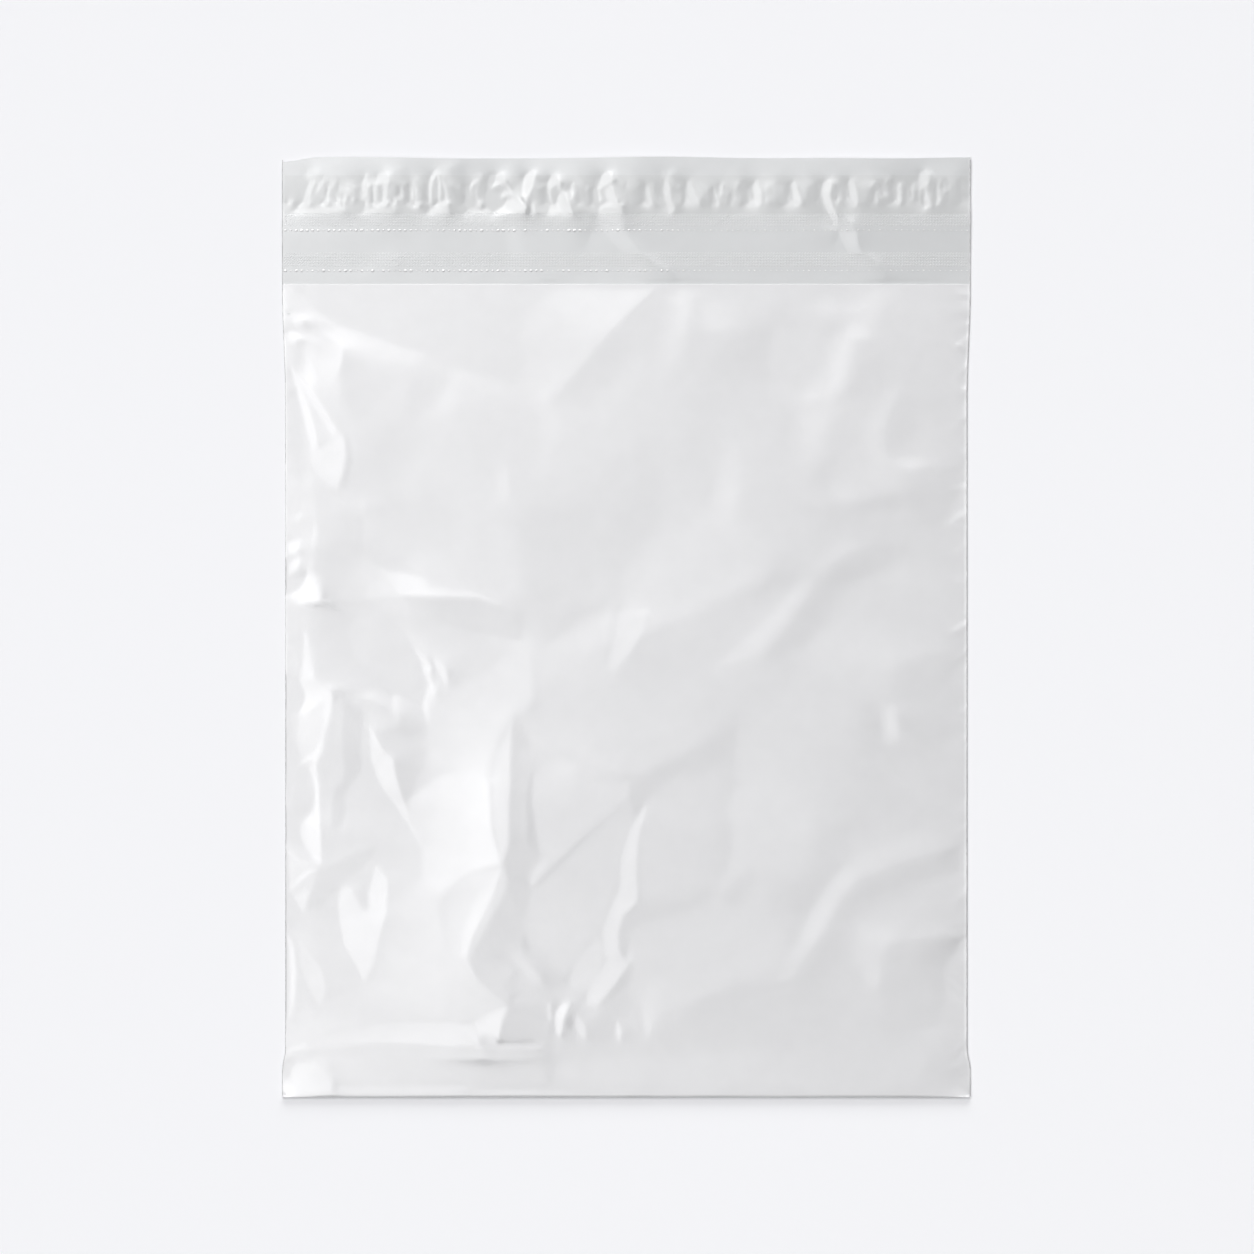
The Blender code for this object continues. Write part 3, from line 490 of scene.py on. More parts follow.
    Facet("eighth left", 0.35, (596.6, 187, 14, 599.2, 184, 15, 601.2, 196, 16.5, 600.6, 205, 16.5,
        597, 202, 15)),
    Facet("eighth inside", 0.4, (602, 188, 5, 606, 186, 5, 606, 195, 5.5, 602.5, 200, 5.5)),
    Facet("eighth right", 0.4, (606.4, 186, 13.5, 612.4, 184, 14, 615, 194, 15, 619, 201, 16.5,
        610, 203.6, 15, 605.4, 196, 14)),
    Facet("eighth foot", 0.5, (598, 203, 16.5, 610, 201.6, 16.5, 621, 203, 16.5, 622.4, 208, 14,
        599, 208, 14)),
    Facet("eighth flare", 0.8, (598, 208, 9.5, 622.4, 208, 10.5, 622.4, 213.8, 10.5, 600, 213.8, 9.5)),
    Facet("patch", 0.8, (597, 214, 7, 622, 214, 7, 623, 228, 6, 632, 240, 7, 644, 255, 8, 655, 263, 7,
        665, 270, 5, 674, 281, 1, 636, 281, 1, 629, 275, 4, 609, 267, 7, 606, 254, 7, 596, 238, 6,
        600, 228, 6)),
    Facet("soft dark", 1.2, (631, 181, -4, 644, 176, -5, 644, 206, -6.5, 633, 209, -4.5)),
    Facet("hollow", 0.4, (622.4, 182, -7, 626, 182, -7.5, 626, 189, -7, 623, 189, -5.5)),
    Facet("hollow eighteen", 0.4, (636, 189, -11, 640, 183, -13, 644, 184, -13, 644, 202, -13,
        636, 204, -11, 639, 195, -11)),
    # The gathers at the right.
    Facet("ninth", 0.35, (645.4, 193, 8, 646.8, 184, 8, 649.4, 184, 9, 651, 195, 10, 654, 204.5, 11,
        649, 205, 10, 646, 200, 9)),
    Facet("hollow nineteen", 0.35, (654, 183, -7.5, 658.4, 184, -7.5, 659, 201, -9, 655, 200, -7.5)),
    Facet("tenth", 0.4, (663, 191, 11, 663.8, 177, 10, 668, 175.6, 11, 670, 184, 12, 671.4, 198, 12,
        675.6, 208, 12, 671, 215, 10, 667, 206.6, 11, 664, 198, 12)),
    Facet("tenth top", 0.9, (661, 170, 4, 671, 170, 5, 671, 177, 6, 662, 178, 4)),
    Facet("hollow", 0.4, (673.6, 180, -6.5, 678, 181, -7.5, 677, 188, -6.5, 674, 187, -5)),
    Facet("hollow", 0.35, (678.6, 185, -10, 684.6, 185, -13, 684.8, 203, -13, 680, 204.6, -10.5,
        681, 193, -10)),
    Facet("eleventh", 0.4, (686, 191, 11, 686.8, 180, 11, 691.4, 179.6, 12, 694, 188, 13, 699.4, 198, 13,
        699.8, 204.6, 12, 694, 203.6, 11, 688, 197, 11)),
    Facet("eleventh side", 0.8, (693, 181, 3, 701, 182, 4, 702, 197, 3, 699, 197, 3)),
    Facet("hollow", 0.35, (707.6, 189, -10, 710, 185, -10.5, 713.4, 190, -13, 713.2, 204.4, -12,
        709, 203, -10.5)),
    Facet("twelfth left", 0.3, (713.6, 188, 10, 715.6, 188, 11, 720.4, 204, 12, 717, 206.4, 12)),
    Facet("hollow", 0.3, (716, 182.6, -7.5, 719, 183.6, -10, 719, 192, -9, 717, 190, -7.5)),
    Facet("twelfth right", 0.35, (719.2, 183, 10, 723.2, 183, 12, 722.4, 194, 11, 719.6, 197, 11)),
    Facet("hollow", 0.35, (727, 196, -7.5, 731, 191, -9, 731.6, 203, -9, 727.4, 204, -7.5)),
    Facet("tooth", 0.35, (732, 201, 6, 733, 191, 6, 736, 191, 7, 736.8, 202, 7)),
    Facet("hollow", 0.4, (737.6, 182, -10.5, 742, 181, -11, 748.4, 186, -10.5, 748.4, 203, -10.5,
        740, 205, -11, 741, 196, -10, 737, 190, -9)),
    Facet("thirteenth", 0.4, (752.4, 190, 12, 753.4, 182, 13, 757, 178.6, 13, 761, 186, 14, 762.4, 202, 14,
        759, 206, 13, 754, 198.6, 13)),
    Facet("thirteenth side", 0.9, (761, 178, 3, 769, 180, 4, 769, 203, 3, 763, 203, 3)),
    Facet("thirteenth glint", 0.3, (765, 182.6, 8, 767.8, 183.6, 9, 767, 189, 8, 765.4, 189, 8)),
    Facet("thirteenth glint", 0.3, (764.4, 198, 8, 768.2, 196, 9, 767.6, 204, 9, 764, 203, 8)),
    Facet("hollow", 0.4, (775, 181, -7.5, 779.4, 182, -9, 782, 190, -6.5, 786, 184, -7.5, 788.8, 190, -10.5,
        787.8, 204, -10, 775.4, 205, -7.5, 776, 195, -7)),
    Facet("fourteenth", 0.4, (790.8, 184, 12, 794, 178.6, 13, 797, 183, 13, 799.4, 192, 14, 802, 203.4, 14,
        797, 205, 13, 793, 198, 12)),
    Facet("fourteenth side", 0.8, (799, 180, 3, 806, 182, 4, 806, 196, 3, 801, 196, 3)),
    Facet("hollow", 0.4, (811.6, 182, -9, 818.2, 182, -11, 818.2, 200, -11, 813.6, 201.6, -10,
        814, 190, -10)),
    Facet("fifteenth", 0.4, (823.6, 181, 13, 828, 177.6, 13, 832.4, 181, 13, 831.4, 188, 14, 829.4, 194, 15,
        832.6, 204, 15, 838.4, 216, 14, 839.4, 228, 11, 834, 227, 12, 828, 215, 14, 823.6, 203, 14,
        820.8, 193.4, 13)),
    Facet("hollow", 0.4, (834.6, 183, -7, 839, 179.6, -7.5, 845.2, 184, -10.5, 846.2, 199, -11,
        842, 201, -9, 841, 188.6, -7, 836, 187, -6.5)),
    Facet("tooth", 0.3, (835.8, 200, 7, 838.6, 193.6, 9, 841.2, 200, 8, 838, 203, 8)),
    Facet("sixteenth", 0.4, (848, 183, 12, 850, 176.6, 12, 854, 179.6, 13, 857.4, 190, 14, 858.6, 203, 14,
        855, 206, 13, 850, 197, 12)),
    Facet("sixteenth side", 1, (858, 178, 3, 867, 180, 4, 866, 200, 3, 860, 203, 3)),
    Facet("patch", 0.7, (838, 216, 8, 851, 219, 8, 857, 232, 8, 858, 245, 9, 863, 253, 9, 875, 260, 8,
        884, 270, 5, 889, 281, 1, 842, 281, 1, 840, 250, 9, 839, 230, 8)),
    Facet("hollow", 0.35, (869.6, 201, -9, 870.4, 188, -9, 876, 180.6, -10, 880.4, 184, -10.5,
        884.4, 192, -9, 880, 194, -7.5, 877, 188, -7, 875, 201, -7.5)),
    Facet("tooth", 0.3, (873.4, 202, 8, 875, 190, 9, 877.6, 194, 10, 878.4, 203, 9)),
    Facet("hollow", 0.35, (880.6, 196, -7.5, 888, 198, -9, 888, 204, -7.5, 881.6, 204, -7.5)),
    Facet("hollow", 0.4, (887.6, 180, -12, 892.8, 176.6, -13, 894, 200, -13, 890, 202, -13, 889, 190, -13)),
    Facet("seventeenth", 0.35, (896.6, 183, 12, 900.6, 182, 13, 902.4, 200, 14, 899, 204, 13,
        896.8, 199, 12)),
    Facet("hollow", 0.35, (902.6, 184, -10.5, 906.8, 185, -12, 906.8, 202.6, -11, 903, 203, -10)),
    Facet("tooth", 0.3, (910.8, 183, 8, 914, 183, 9, 914.2, 198, 8, 911.4, 199, 8)),
    Facet("hollow", 0.3, (915, 190, -7.5, 917.6, 190, -7.5, 917.6, 202, -7.5, 915, 202, -7)),
    Facet("eighteenth top", 0.5, (917.8, 181, 10, 919.8, 171, 10, 925, 168.4, 11, 929.4, 173, 11,
        929.4, 182, 12, 926, 187, 12, 920, 189, 11)),
    Facet("eighteenth left", 0.3, (918.4, 188, 8, 921, 188, 9, 921.2, 201, 9, 919, 201, 8)),
    Facet("eighteenth right", 0.35, (923.8, 184, 13, 927, 187, 14, 932.6, 206, 15, 925, 208.6, 14,
        923.4, 198, 13, 925, 192, 13)),
    Facet("hollow", 0.35, (931.4, 184, -7, 936, 183.4, -9, 935.6, 203.6, -9, 932.4, 202, -7.5)),
    Facet("nineteenth", 0.35, (936.2, 181.6, 11, 939.8, 182, 12, 941, 203, 13, 937.2, 204, 12,
        937.4, 192, 12)),
    Facet("hollow", 0.3, (940.6, 178.6, -7.5, 943.6, 179.6, -9, 943.2, 188, -7.5, 941, 188, -7)),
    Facet("hollow", 0.3, (944.4, 190, -7.5, 949.2, 191, -7.5, 948.6, 202, -7.5, 945, 202, -7)),
    Facet("tooth", 0.3, (948.4, 182, 6, 951.6, 183, 7, 951.2, 190, 6, 948.8, 189, 6)),
    Facet("soft dark", 1.2, (953, 168, -3.5, 968, 168, -4, 968, 203, -5, 953, 203, -3.5)),
    Facet("hollow", 0.35, (956.8, 178, -10, 961, 178.6, -10.5, 960.6, 189, -10, 957.2, 188, -9)),
    Facet("hollow", 0.35, (957, 190, -10, 961.6, 191, -10.5, 961, 202, -10, 957.4, 202, -9)),
    # Soft patches on the lower part of the lip.
    Facet("patch", 1.5, (505, 216, 2.5, 514, 214.5, 3, 518, 228, 3, 520, 240, 2.5, 526, 255, 2.5,
        534, 270, 2, 556, 282, 2, 520, 282, 2, 505, 262, 2, 508, 240, 2.5)),
    Facet("patch", 2.5, (355, 245, 1.5, 389, 246, 2.5, 392, 269, 2.5, 360, 275, 1.5)),
    Facet("dull patch", 3, (640, 225, 0, 830, 225, 0, 830, 280, -0.5, 680, 280, 0)),
    Facet("dull patch right", 3, (870, 225, -0.5, 964, 225, -1, 964, 280, -1.5, 895, 280, -0.5)),
    Facet("dull patch left", 3, (395, 232, 0, 500, 232, 0, 500, 252, 0, 410, 252, 0)),
    Facet("dull patch far left", 3, (288, 232, -1, 400, 232, -1, 400, 252, -1, 288, 252, -1)),
)


class Side(Enum):
    """A side of the bag, seen from above."""

    LEFT = -1
    RIGHT = 1


def smooth(share: np.ndarray) -> np.ndarray:
    """A smooth step.

    Args:
        share: Values of which 0 is the start of the step and 1 its end.

    Returns:
        Values from 0 to 1.
    """
    held = np.clip(share, 0.0, 1.0)
    return held * held * (3.0 - 2.0 * held)


def blurred(heights: np.ndarray, sigma: float) -> np.ndarray:
    """A Gaussian blur that keeps the border.

    Args:
        heights: A grid of heights.
        sigma: Width of the blur, in cells.

    Returns:
        The blurred grid.
    """
    reach = max(1, int(math.ceil(3 * sigma)))
    offsets = np.arange(-reach, reach + 1)
    weights = np.exp(-0.5 * (offsets / sigma) ** 2)
    weights /= weights.sum()
    result = heights
    for axis in (0, 1):
        pad = [(reach, reach) if side == axis else (0, 0) for side in (0, 1)]
        wide = np.pad(result, pad, mode="edge")
        size = result.shape[axis]
        result = sum(
            weight * wide.take(range(start, start + size), axis) for start, weight in enumerate(weights)
        )
    return result


def placed(name: str, data: bpy.types.ID) -> bpy.types.Object:
    """Put new data into the scene as an object.

    Args:
        name: The object's name.
        data: Its mesh, lamp or camera.

    Returns:
        The object.
    """
    made = bpy.data.objects.new(name, data)
    bpy.context.scene.collection.objects.link(made)
    return made


class Network:
    """A node tree that is wired up step by step."""

    def __init__(self, tree: bpy.types.NodeTree) -> None:
        """Take up a node tree."""
        self.tree = tree

    def fill(self, made: bpy.types.Node, inputs: dict) -> None:
        """Set or link a node's inputs.

        Args:
            made: The node.
            inputs: Values or sockets by input name or index.
        """
        for key, value in inputs.items():
            if isinstance(value, bpy.types.NodeSocket):
                self.tree.links.new(value, made.inputs[key])
            else:
                made.inputs[key].default_value = value

    def node(self, kind: str, inputs: dict | None = None, **settings: object) -> bpy.types.Node:
        """Add a node.

        Args:
            kind: The node's type.
            inputs: Values or sockets by input name or index.
            settings: Properties of the node.

        Returns:
            The node.
        """
        made = self.tree.nodes.new(kind)
        for name, value in settings.items():
            setattr(made, name, value)
        self.fill(made, inputs or {})
        return made

    def math(self, operation: str, *values: object) -> bpy.types.NodeSocket:
        """Add an operation on numbers and give its result."""
        return self.node("ShaderNodeMath", dict(enumerate(values)), operation=operation).outputs[0]


@dataclass(frozen=True)
class BagSizes:
    """The bag's sizes in metres. The frame gives the overall ones."""

    width: float
    length: float
    lip: float = 0.0470
    gauge: float = 0.000064
    draw_in: float = 0.0012
    draw_in_run: float = 0.043
    crease_up: float = 0.018
    crease_run: float = 0.008
    contact_gap: float = 0.00036
    roll_height: float = 0.0016

    @property
    def bottom(self) -> float:
        """Y of the bottom fold."""
        return -self.length / 2

    @property
    def top(self) -> float:
        """Y of the lip's free edge."""
        return self.length / 2

    @property
    def mouth(self) -> float:
        """Y of the front panel's cut edge."""
        return self.top - self.lip

    @property
    def pocket(self) -> float:
        """Length of the pocket."""
        return self.length - self.lip

    def half_width_at(self, y: np.ndarray) -> np.ndarray:
        """Half the width, which the welds draw in between the lip and the bottom band.

        Args:
            y: Places along the bag.

        Returns:
            Half the bag's width at each place.
        """
        below_mouth = smooth((self.mouth - y) / self.draw_in_run)
        above_crease = smooth((y - self.bottom - self.crease_up + self.crease_run) / self.crease_run)
        return self.width / 2 - self.draw_in * np.minimum(below_mouth, above_crease)

    @classmethod
    def from_frame(cls) -> "BagSizes":
        """The sizes with the frame's width and length."""
        low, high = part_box("bag_film")
        return cls(width=high[0] - low[0], length=high[1] - low[1])


@dataclass(frozen=True)
class FilmFinish:
    """A glossy plastic film with a faint waviness and a fine grain."""

    name: str
    colour: tuple[float, float, float]
    roughness: float
    gloss: float = 0.5
    coat: float = 1.0
    coat_roughness: float = 0.09
    wave_size: float = 0.007
    wave_depth: float = 0.00006
    grain_size: float = 0.0006
    grain_depth: float = 0.000002
    tone_change: float = 0.02
    alpha: float = 1.0

    def material(self) -> bpy.types.Material:
        """Build the finish as a node material.

        Returns:
            The material.
        """
        made = bpy.data.materials.new(self.name)
        made.use_nodes = True
        net = Network(made.node_tree)
        wave, grain = self._noise(net, self.wave_size), self._noise(net, self.grain_size)
        ramp = net.node("ShaderNodeValToRGB", {"Fac": wave})
        for stop, place, tone in zip(ramp.color_ramp.elements, (0.3, 0.7), (1 - self.tone_change, 1.0)):
            stop.position = place
            stop.color = (*(channel * tone for channel in self.colour), 1.0)
        waved = net.node("ShaderNodeBump", {"Strength": 1.0, "Distance": self.wave_depth, "Height": wave})
        fine = {"Strength": 1.0, "Distance": self.grain_depth, "Height": grain, "Normal": waved.outputs[0]}
        normal = net.node("ShaderNodeBump", fine).outputs[0]
        net.fill(made.node_tree.nodes["Principled BSDF"], {
            "Base Color": ramp.outputs["Color"],
            "Roughness": self.roughness,
            "Specular IOR Level": self.gloss,
            "Alpha": self.alpha,
            "Normal": normal,
            "Coat Weight": self.coat,
            "Coat Roughness": self.coat_roughness,
            "Coat Normal": normal,
        })
        made.diffuse_color = (*self.colour, 1.0)
        return made

    @staticmethod
    def _noise(net: Network, size: float) -> bpy.types.NodeSocket:
        """Noise with features of one size.

        Args:
            net: The material's nodes.
            size: The size of a feature.

        Returns:
            The noise's socket.
        """
        place = net.node("ShaderNodeTexCoord").outputs["Object"]
        inputs = {"Vector": place, "Scale": 1 / size, "Detail": 3.0, "Roughness": 0.5}
        return net.node("ShaderNodeTexNoise", inputs).outputs["Fac"]


FINISHES: dict[str, FilmFinish] = {
    "outside": FilmFinish("white_film", (0.80, 0.80, 0.815), 0.21),
    "inside": FilmFinish("grey_film", (0.695, 0.705, 0.715), 0.2),
    "adhesive": FilmFinish("milky_adhesive", (0.66, 0.665, 0.66), 0.35, grain_depth=0.00001),
    "liner": FilmFinish("clear_liner", (0.715, 0.724, 0.73), 0.16, alpha=0.93),
    "weld": FilmFinish("weld_bead", (0.72, 0.72, 0.73), 0.2, tone_change=0.3, wave_size=0.002),
    # Lighter than the grey lip film that the ribs are made of: a painted sheen of the knurled texture.
    "emboss": FilmFinish("embossed_film_painted_sheen", (0.76, 0.765, 0.77), 0.22),
    # Near white, far lighter than the grey lip that the dots are part of: a painted glint on the raised
    # perforation dots.
    "dots": FilmFinish("perforation_dots_painted_glint", (0.94, 0.94, 0.94), 0.15),
}


def gradient(heights: np.ndarray, step: float) -> tuple[np.ndarray, np.ndarray]:
    """Slopes of a grid of heights, one for each cell.

    Args:
        heights: Heights, in rows from the bottom up.
        step: The grid's cell.

    Returns:
        The slopes across and up.
    """
    low_left, low_right = heights[:-1, :-1], heights[:-1, 1:]
    high_left, high_right = heights[1:, :-1], heights[1:, 1:]
    across = (low_right + high_right - low_left - high_left) / (2 * step)
    up = (high_left + high_right - low_left - low_right) / (2 * step)
    return across, up


def gathered(across: np.ndarray, up: np.ndarray, step: float) -> np.ndarray:
    """Give the slopes of cells back to the grid's points: the transpose of gradient.

    Args:
        across: Slopes across.
        up: Slopes up.
        step: The grid's cell.

    Returns:
        A value for each point.
    """
    points = np.zeros((across.shape[0] + 1, across.shape[1] + 1))
    points[:-1, :-1] -= across + up
    points[:-1, 1:] += across - up
    points[1:, :-1] += up - across
    points[1:, 1:] += across + up
    return points / (2 * step)


@dataclass(frozen=True)
class Levels:
    """The heights in millimetres that a film is drawn to.

    The fold is its lower border, above which it rises over the run to its loft, where no facet moves it.
    The pull says how firmly it is drawn there, and the least is how low it may lie.
    """

    loft: float
    run: float
    pull: float
    fold: float = 0.0
    least: float = 0.0
    welded: bool = True


@dataclass
class Wishes:
    """What the facets ask of each cell: a slope, how firmly it is kept, and the way that it faces."""

    slopes: np.ndarray
    holds: np.ndarray
    faces_x: np.ndarray
    faces_y: np.ndarray

    def thinned(self, factor: int) -> "Wishes":
        """The wishes of blocks of cells, averaged, for a grid that is coarser by a factor."""
        return Wishes(*(self._blocks(grid, factor) for grid in vars(self).values()))

    @staticmethod
    def _blocks(grid: np.ndarray, factor: int) -> np.ndarray:
        """Average a grid over blocks of cells.

        Args:
            grid: The grid.
            factor: Side of a block, in cells.

        Returns:
            The coarser grid.
        """
        rows, columns = grid.shape[0] // factor, grid.shape[1] // factor
        block = grid[: rows * factor, : columns * factor].reshape(rows, factor, columns, factor)
        return block.mean(axis=(1, 3))


def settled(wishes: Wishes, start: np.ndarray, levels: Levels, step: float, rounds: int) -> np.ndarray:
    """Heights of a film that follows its facets' slopes and is smooth otherwise.

    The film is held at its fold's height at the lower border, held down at its left and right ones if it is
    welded there, and free at the upper one.

    Args:
        wishes: What each cell asks for.
        start: Heights to start from, in millimetres.
        levels: The heights that the film is drawn to.
        step: The grid's cell, in millimetres.
        rounds: Steps of the conjugate gradient.

    Returns:
        The heights, in millimetres.
    """
    face_x, face_y, holds = wishes.faces_x, wishes.faces_y, wishes.holds
    free = np.ones_like(start)
    free[0, :] = 0.0
    if levels.welded:
        free[:, 0] = free[:, -1] = 0.0
    rise = smooth(np.arange(start.shape[0]) * step / levels.run)[:, None]
    wanted = levels.fold + (levels.loft - levels.fold) * rise

    def pull(heights: np.ndarray) -> np.ndarray:
        """What a film of some heights gives back to its points: the least-squares operator.

        Args:
            heights: The heights.

        Returns:
            A value for each point.
        """
        across, up = gradient(heights, step)
        along = (across * face_x + up * face_y) * holds
        aside = (up * face_x - across * face_y) * ASIDE_HOLD
        back = gathered(along * face_x - aside * face_y, along * face_y + aside * face_x, step)
        return (back + levels.pull * heights) * free

    target = gathered(-wishes.slopes * holds * face_x, -wishes.slopes * holds * face_y, step)
    target = (target + levels.pull * wanted) * free
    heights = start * free
    heights[0, 1:-1] = levels.fold
    rest = target - pull(heights)
    move = rest.copy()
    size = float((rest * rest).sum())
    for _ in range(rounds):
        pulled = pull(move)
        share = size / max(float((move * pulled).sum()), 1e-30)
        heights += share * move
        rest -= share * pulled
        new_size = float((rest * rest).sum())
        move = rest + new_size / max(size, 1e-30) * move
        size = new_size
    return heights


class Relief:
    """Heights of a stretch of film over what it lies on, on a square grid, in metres."""

    def __init__(
        self, width: float, length: float, base: float, base_row: float, step: float, seed: int
    ) -> None:
        """Start flat.

        Args:
            width: The stretch's width.
            length: Its length.
            base: Y of its lower end.
            base_row: The photograph's row of its lower end, in pixels.
            step: The grid's cell.
            seed: Seed of its chance ripples.
        """
        self.pixel = width / BAG_WIDTH_PX
        self.base_row = base_row
        self.step = step
        self.base = base
        self.across = np.arange(-width / 2, width / 2 + step, step)
        self.up = np.arange(0.0, length + step, step)
        self.heights = np.zeros((len(self.up), len(self.across)))
        self.random = np.random.default_rng(seed)

    def add_facets(self, facets: Sequence[Facet], levels: Levels) -> None:
        """Lay the film in facets.

        Args:
            facets: The facets, of which a later one lies over an earlier one.
            levels: The heights that the film is drawn to.
        """
        tilts = np.zeros_like(self.heights)
        light = math.radians(UPPER_LEFT)
        wishes = Wishes(
            np.zeros_like(tilts), np.full_like(tilts, CALM_HOLD),
            np.full_like(tilts, math.cos(light)), np.full_like(tilts, math.sin(light)),
        )
        for facet in facets:
            self._paint(facet, tilts, wishes)
        wishes.slopes = np.tan(np.radians(tilts))
        size = np.hypot(wishes.faces_x, wishes.faces_y)
        wishes.faces_x, wishes.faces_y = wishes.faces_x / size, wishes.faces_y / size
        heights = np.zeros((2, 2))
        for thin, rounds in SOLVER_LEVELS:
            level = wishes.thinned(thin)
            shape = (level.holds.shape[0] + 1, level.holds.shape[1] + 1)
            heights = settled(level, self._resized(heights, shape), levels, self.step / MM * thin, rounds)
        raised = self._resized(heights, self.heights.shape) - levels.least
        self.heights += (levels.least + (raised + np.sqrt(raised**2 + FLOOR_SOFTNESS**2)) / 2) * MM
        below = float((raised < 0).mean())
        log.info("facets: %.2f to %.2f mm, %.3f held up", raised.min(), raised.max(), below)

    @staticmethod
    def _resized(grid: np.ndarray, shape: tuple[int, int]) -> np.ndarray:
        """Stretch a grid to another number of rows and columns.

        Args:
            grid: The grid.
            shape: The rows and columns wanted.

        Returns:
            The stretched grid.
        """
        rows = np.linspace(0, grid.shape[0] - 1, shape[0])
        columns = np.linspace(0, grid.shape[1] - 1, shape[1])
        low = np.minimum(rows.astype(int), grid.shape[0] - 2)
        left = np.minimum(columns.astype(int), grid.shape[1] - 2)
        up, right = (rows - low)[:, None], (columns - left)[None, :]
        lower = grid[low][:, left] * (1 - right) + grid[low][:, left + 1] * right
        upper = grid[low + 1][:, left] * (1 - right) + grid[low + 1][:, left + 1] * right
        return lower * (1 - up) + upper * up

    def _paint(self, facet: Facet, tilts: np.ndarray, wishes: Wishes) -> None:
        """Write one facet into the grids of tilts and wishes.

        Args:
            facet: The facet.
            tilts: The film's lean, in degrees.
            wishes: What each cell asks for.
        """
        softness = max(facet.softness * BORDER_SOFTNESS * MM / self.step, LEAST_SOFTNESS)
        margin = int(3 * softness) + 2
        corners = np.reshape(facet.corners, (-1, 3)).tolist()
        columns = [((x - BAG_MIDDLE_PX) * self.pixel - self.across[0]) / self.step for x, _, _ in corners]
        rows = [(self.base_row - y) * self.pixel / self.step for _, y, _ in corners]
        left, right = max(0, int(min(columns)) - margin), min(tilts.shape[1], int(max(columns)) + margin)
        low, high = max(0, int(min(rows)) - margin), min(tilts.shape[0], int(max(rows)) + margin)
        inside = np.zeros((high - low, right - left))
        values = np.zeros_like(inside)
        outline = [Vector((x, y, 0.0)) for x, y, _ in corners]
        for triangle in tessellate_polygon([outline]):
            self._fill(
                inside, values,
                [columns[corner] - left for corner in triangle],
                [rows[corner] - low for corner in triangle],
                [corners[corner][2] for corner in triangle],
            )
        share = blurred(inside, softness)
        value = blurred(values, softness) / np.maximum(share, NOTHING)
        patch = (slice(low, high), slice(left, right))
        faces = math.radians(facet.faces)
        grids = (tilts, wishes.holds, wishes.faces_x, wishes.faces_y)
        for grid, wanted in zip(grids, (value, 1.0, math.cos(faces), math.sin(faces))):
            grid[patch] += (wanted - grid[patch]) * share

    @staticmethod
    def _fill(
        inside: np.ndarray, values: np.ndarray, xs: list[float], ys: list[float], tilts: list[float]
    ) -> None:
        """Write one triangle of a facet into its patch.

        Args:
            inside: Is set to 1 in the triangle.
            values: Is set to the lean in the triangle.
            xs: Columns of its corners.
            ys: Rows of its corners.
            tilts: The lean at its corners, in degrees.
        """
        area = (xs[1] - xs[0]) * (ys[2] - ys[0]) - (xs[2] - xs[0]) * (ys[1] - ys[0])
        if abs(area) < NOTHING / 1000:
            return
        left, right = max(0, math.floor(min(xs))), min(inside.shape[1] - 1, math.ceil(max(xs)))
        low, high = max(0, math.floor(min(ys))), min(inside.shape[0] - 1, math.ceil(max(ys)))
        if left > right or low > high:
            return
        across, up = np.meshgrid(np.arange(left, right + 1), np.arange(low, high + 1))
        second = ((across - xs[0]) * (ys[2] - ys[0]) - (xs[2] - xs[0]) * (up - ys[0])) / area
        third = ((xs[1] - xs[0]) * (up - ys[0]) - (across - xs[0]) * (ys[1] - ys[0])) / area
        first = 1 - second - third
        within = (first >= -NOTHING) & (second >= -NOTHING) & (third >= -NOTHING)
        value = first * tilts[0] + second * tilts[1] + third * tilts[2]
        inside[low : high + 1, left : right + 1][within] = 1.0
        values[low : high + 1, left : right + 1][within] = value[within]

    def _cloud(self, cell: float) -> np.ndarray:
        """Make soft random heights.

        Args:
            cell: Their size across.

        Returns:
            Heights from -1 to 1.
        """
        rows = int(self.up[-1] / cell) + 4
        columns = int((self.across[-1] - self.across[0]) / cell) + 4
        lattice = self.random.uniform(-1.0, 1.0, (rows, columns))
        along = np.arange(columns) * cell + self.across[0]
        wide = np.array([np.interp(self.across, along, row) for row in lattice])
        down = np.arange(rows) * cell
        tall = np.array([np.interp(self.up, down, column) for column in wide.T]).T
        return blurred(tall, cell / self.step / 3)

    def add_ripples(self, cell: float, depth: float) -> None:
        """Add faint creased ripples all over.

        Args:
            cell: Distance between ripples.
            depth: Their height.
        """
        cloud = self._cloud(cell)
        creased = 1.0 - np.abs(cloud) / max(np.abs(cloud).max(), 1e-9)
        from_side = self.across[-1] - np.abs(self.across)
        held_down = smooth(from_side / RIPPLE_MARGIN)[None, :]
        self.heights += depth * blurred(creased, 1.2 * MM / self.step) * held_down

    def add_edge_puckers(self, side: Side, pitch: float, reach: float, rise: float) -> None:
        """Add the puckers that a side weld pulls into the film.

        Args:
            side: Which weld.
            pitch: Mean distance between puckers.
            reach: How far they run into the panel.
            rise: Their height.
        """
        inward = (self.across - self.across[0]) if side is Side.LEFT else (self.across[-1] - self.across)
        up = pitch
        while up < self.up[-1] - pitch:
            size = self.random.uniform(0.4, 1.0)
            lean = self.random.uniform(-1.0, 1.0)
            run = reach * size
            shape = inward / run * np.exp(1 - inward / run)
            centre = up + lean * inward
            width = pitch * self.random.uniform(0.28, 0.55)
            offset = (self.up[:, None] - centre[None, :]) / width
            self.heights += rise * size * shape[None, :] * np.exp(-np.abs(offset) ** 1.4)
            up += pitch * self.random.uniform(0.6, 1.5)

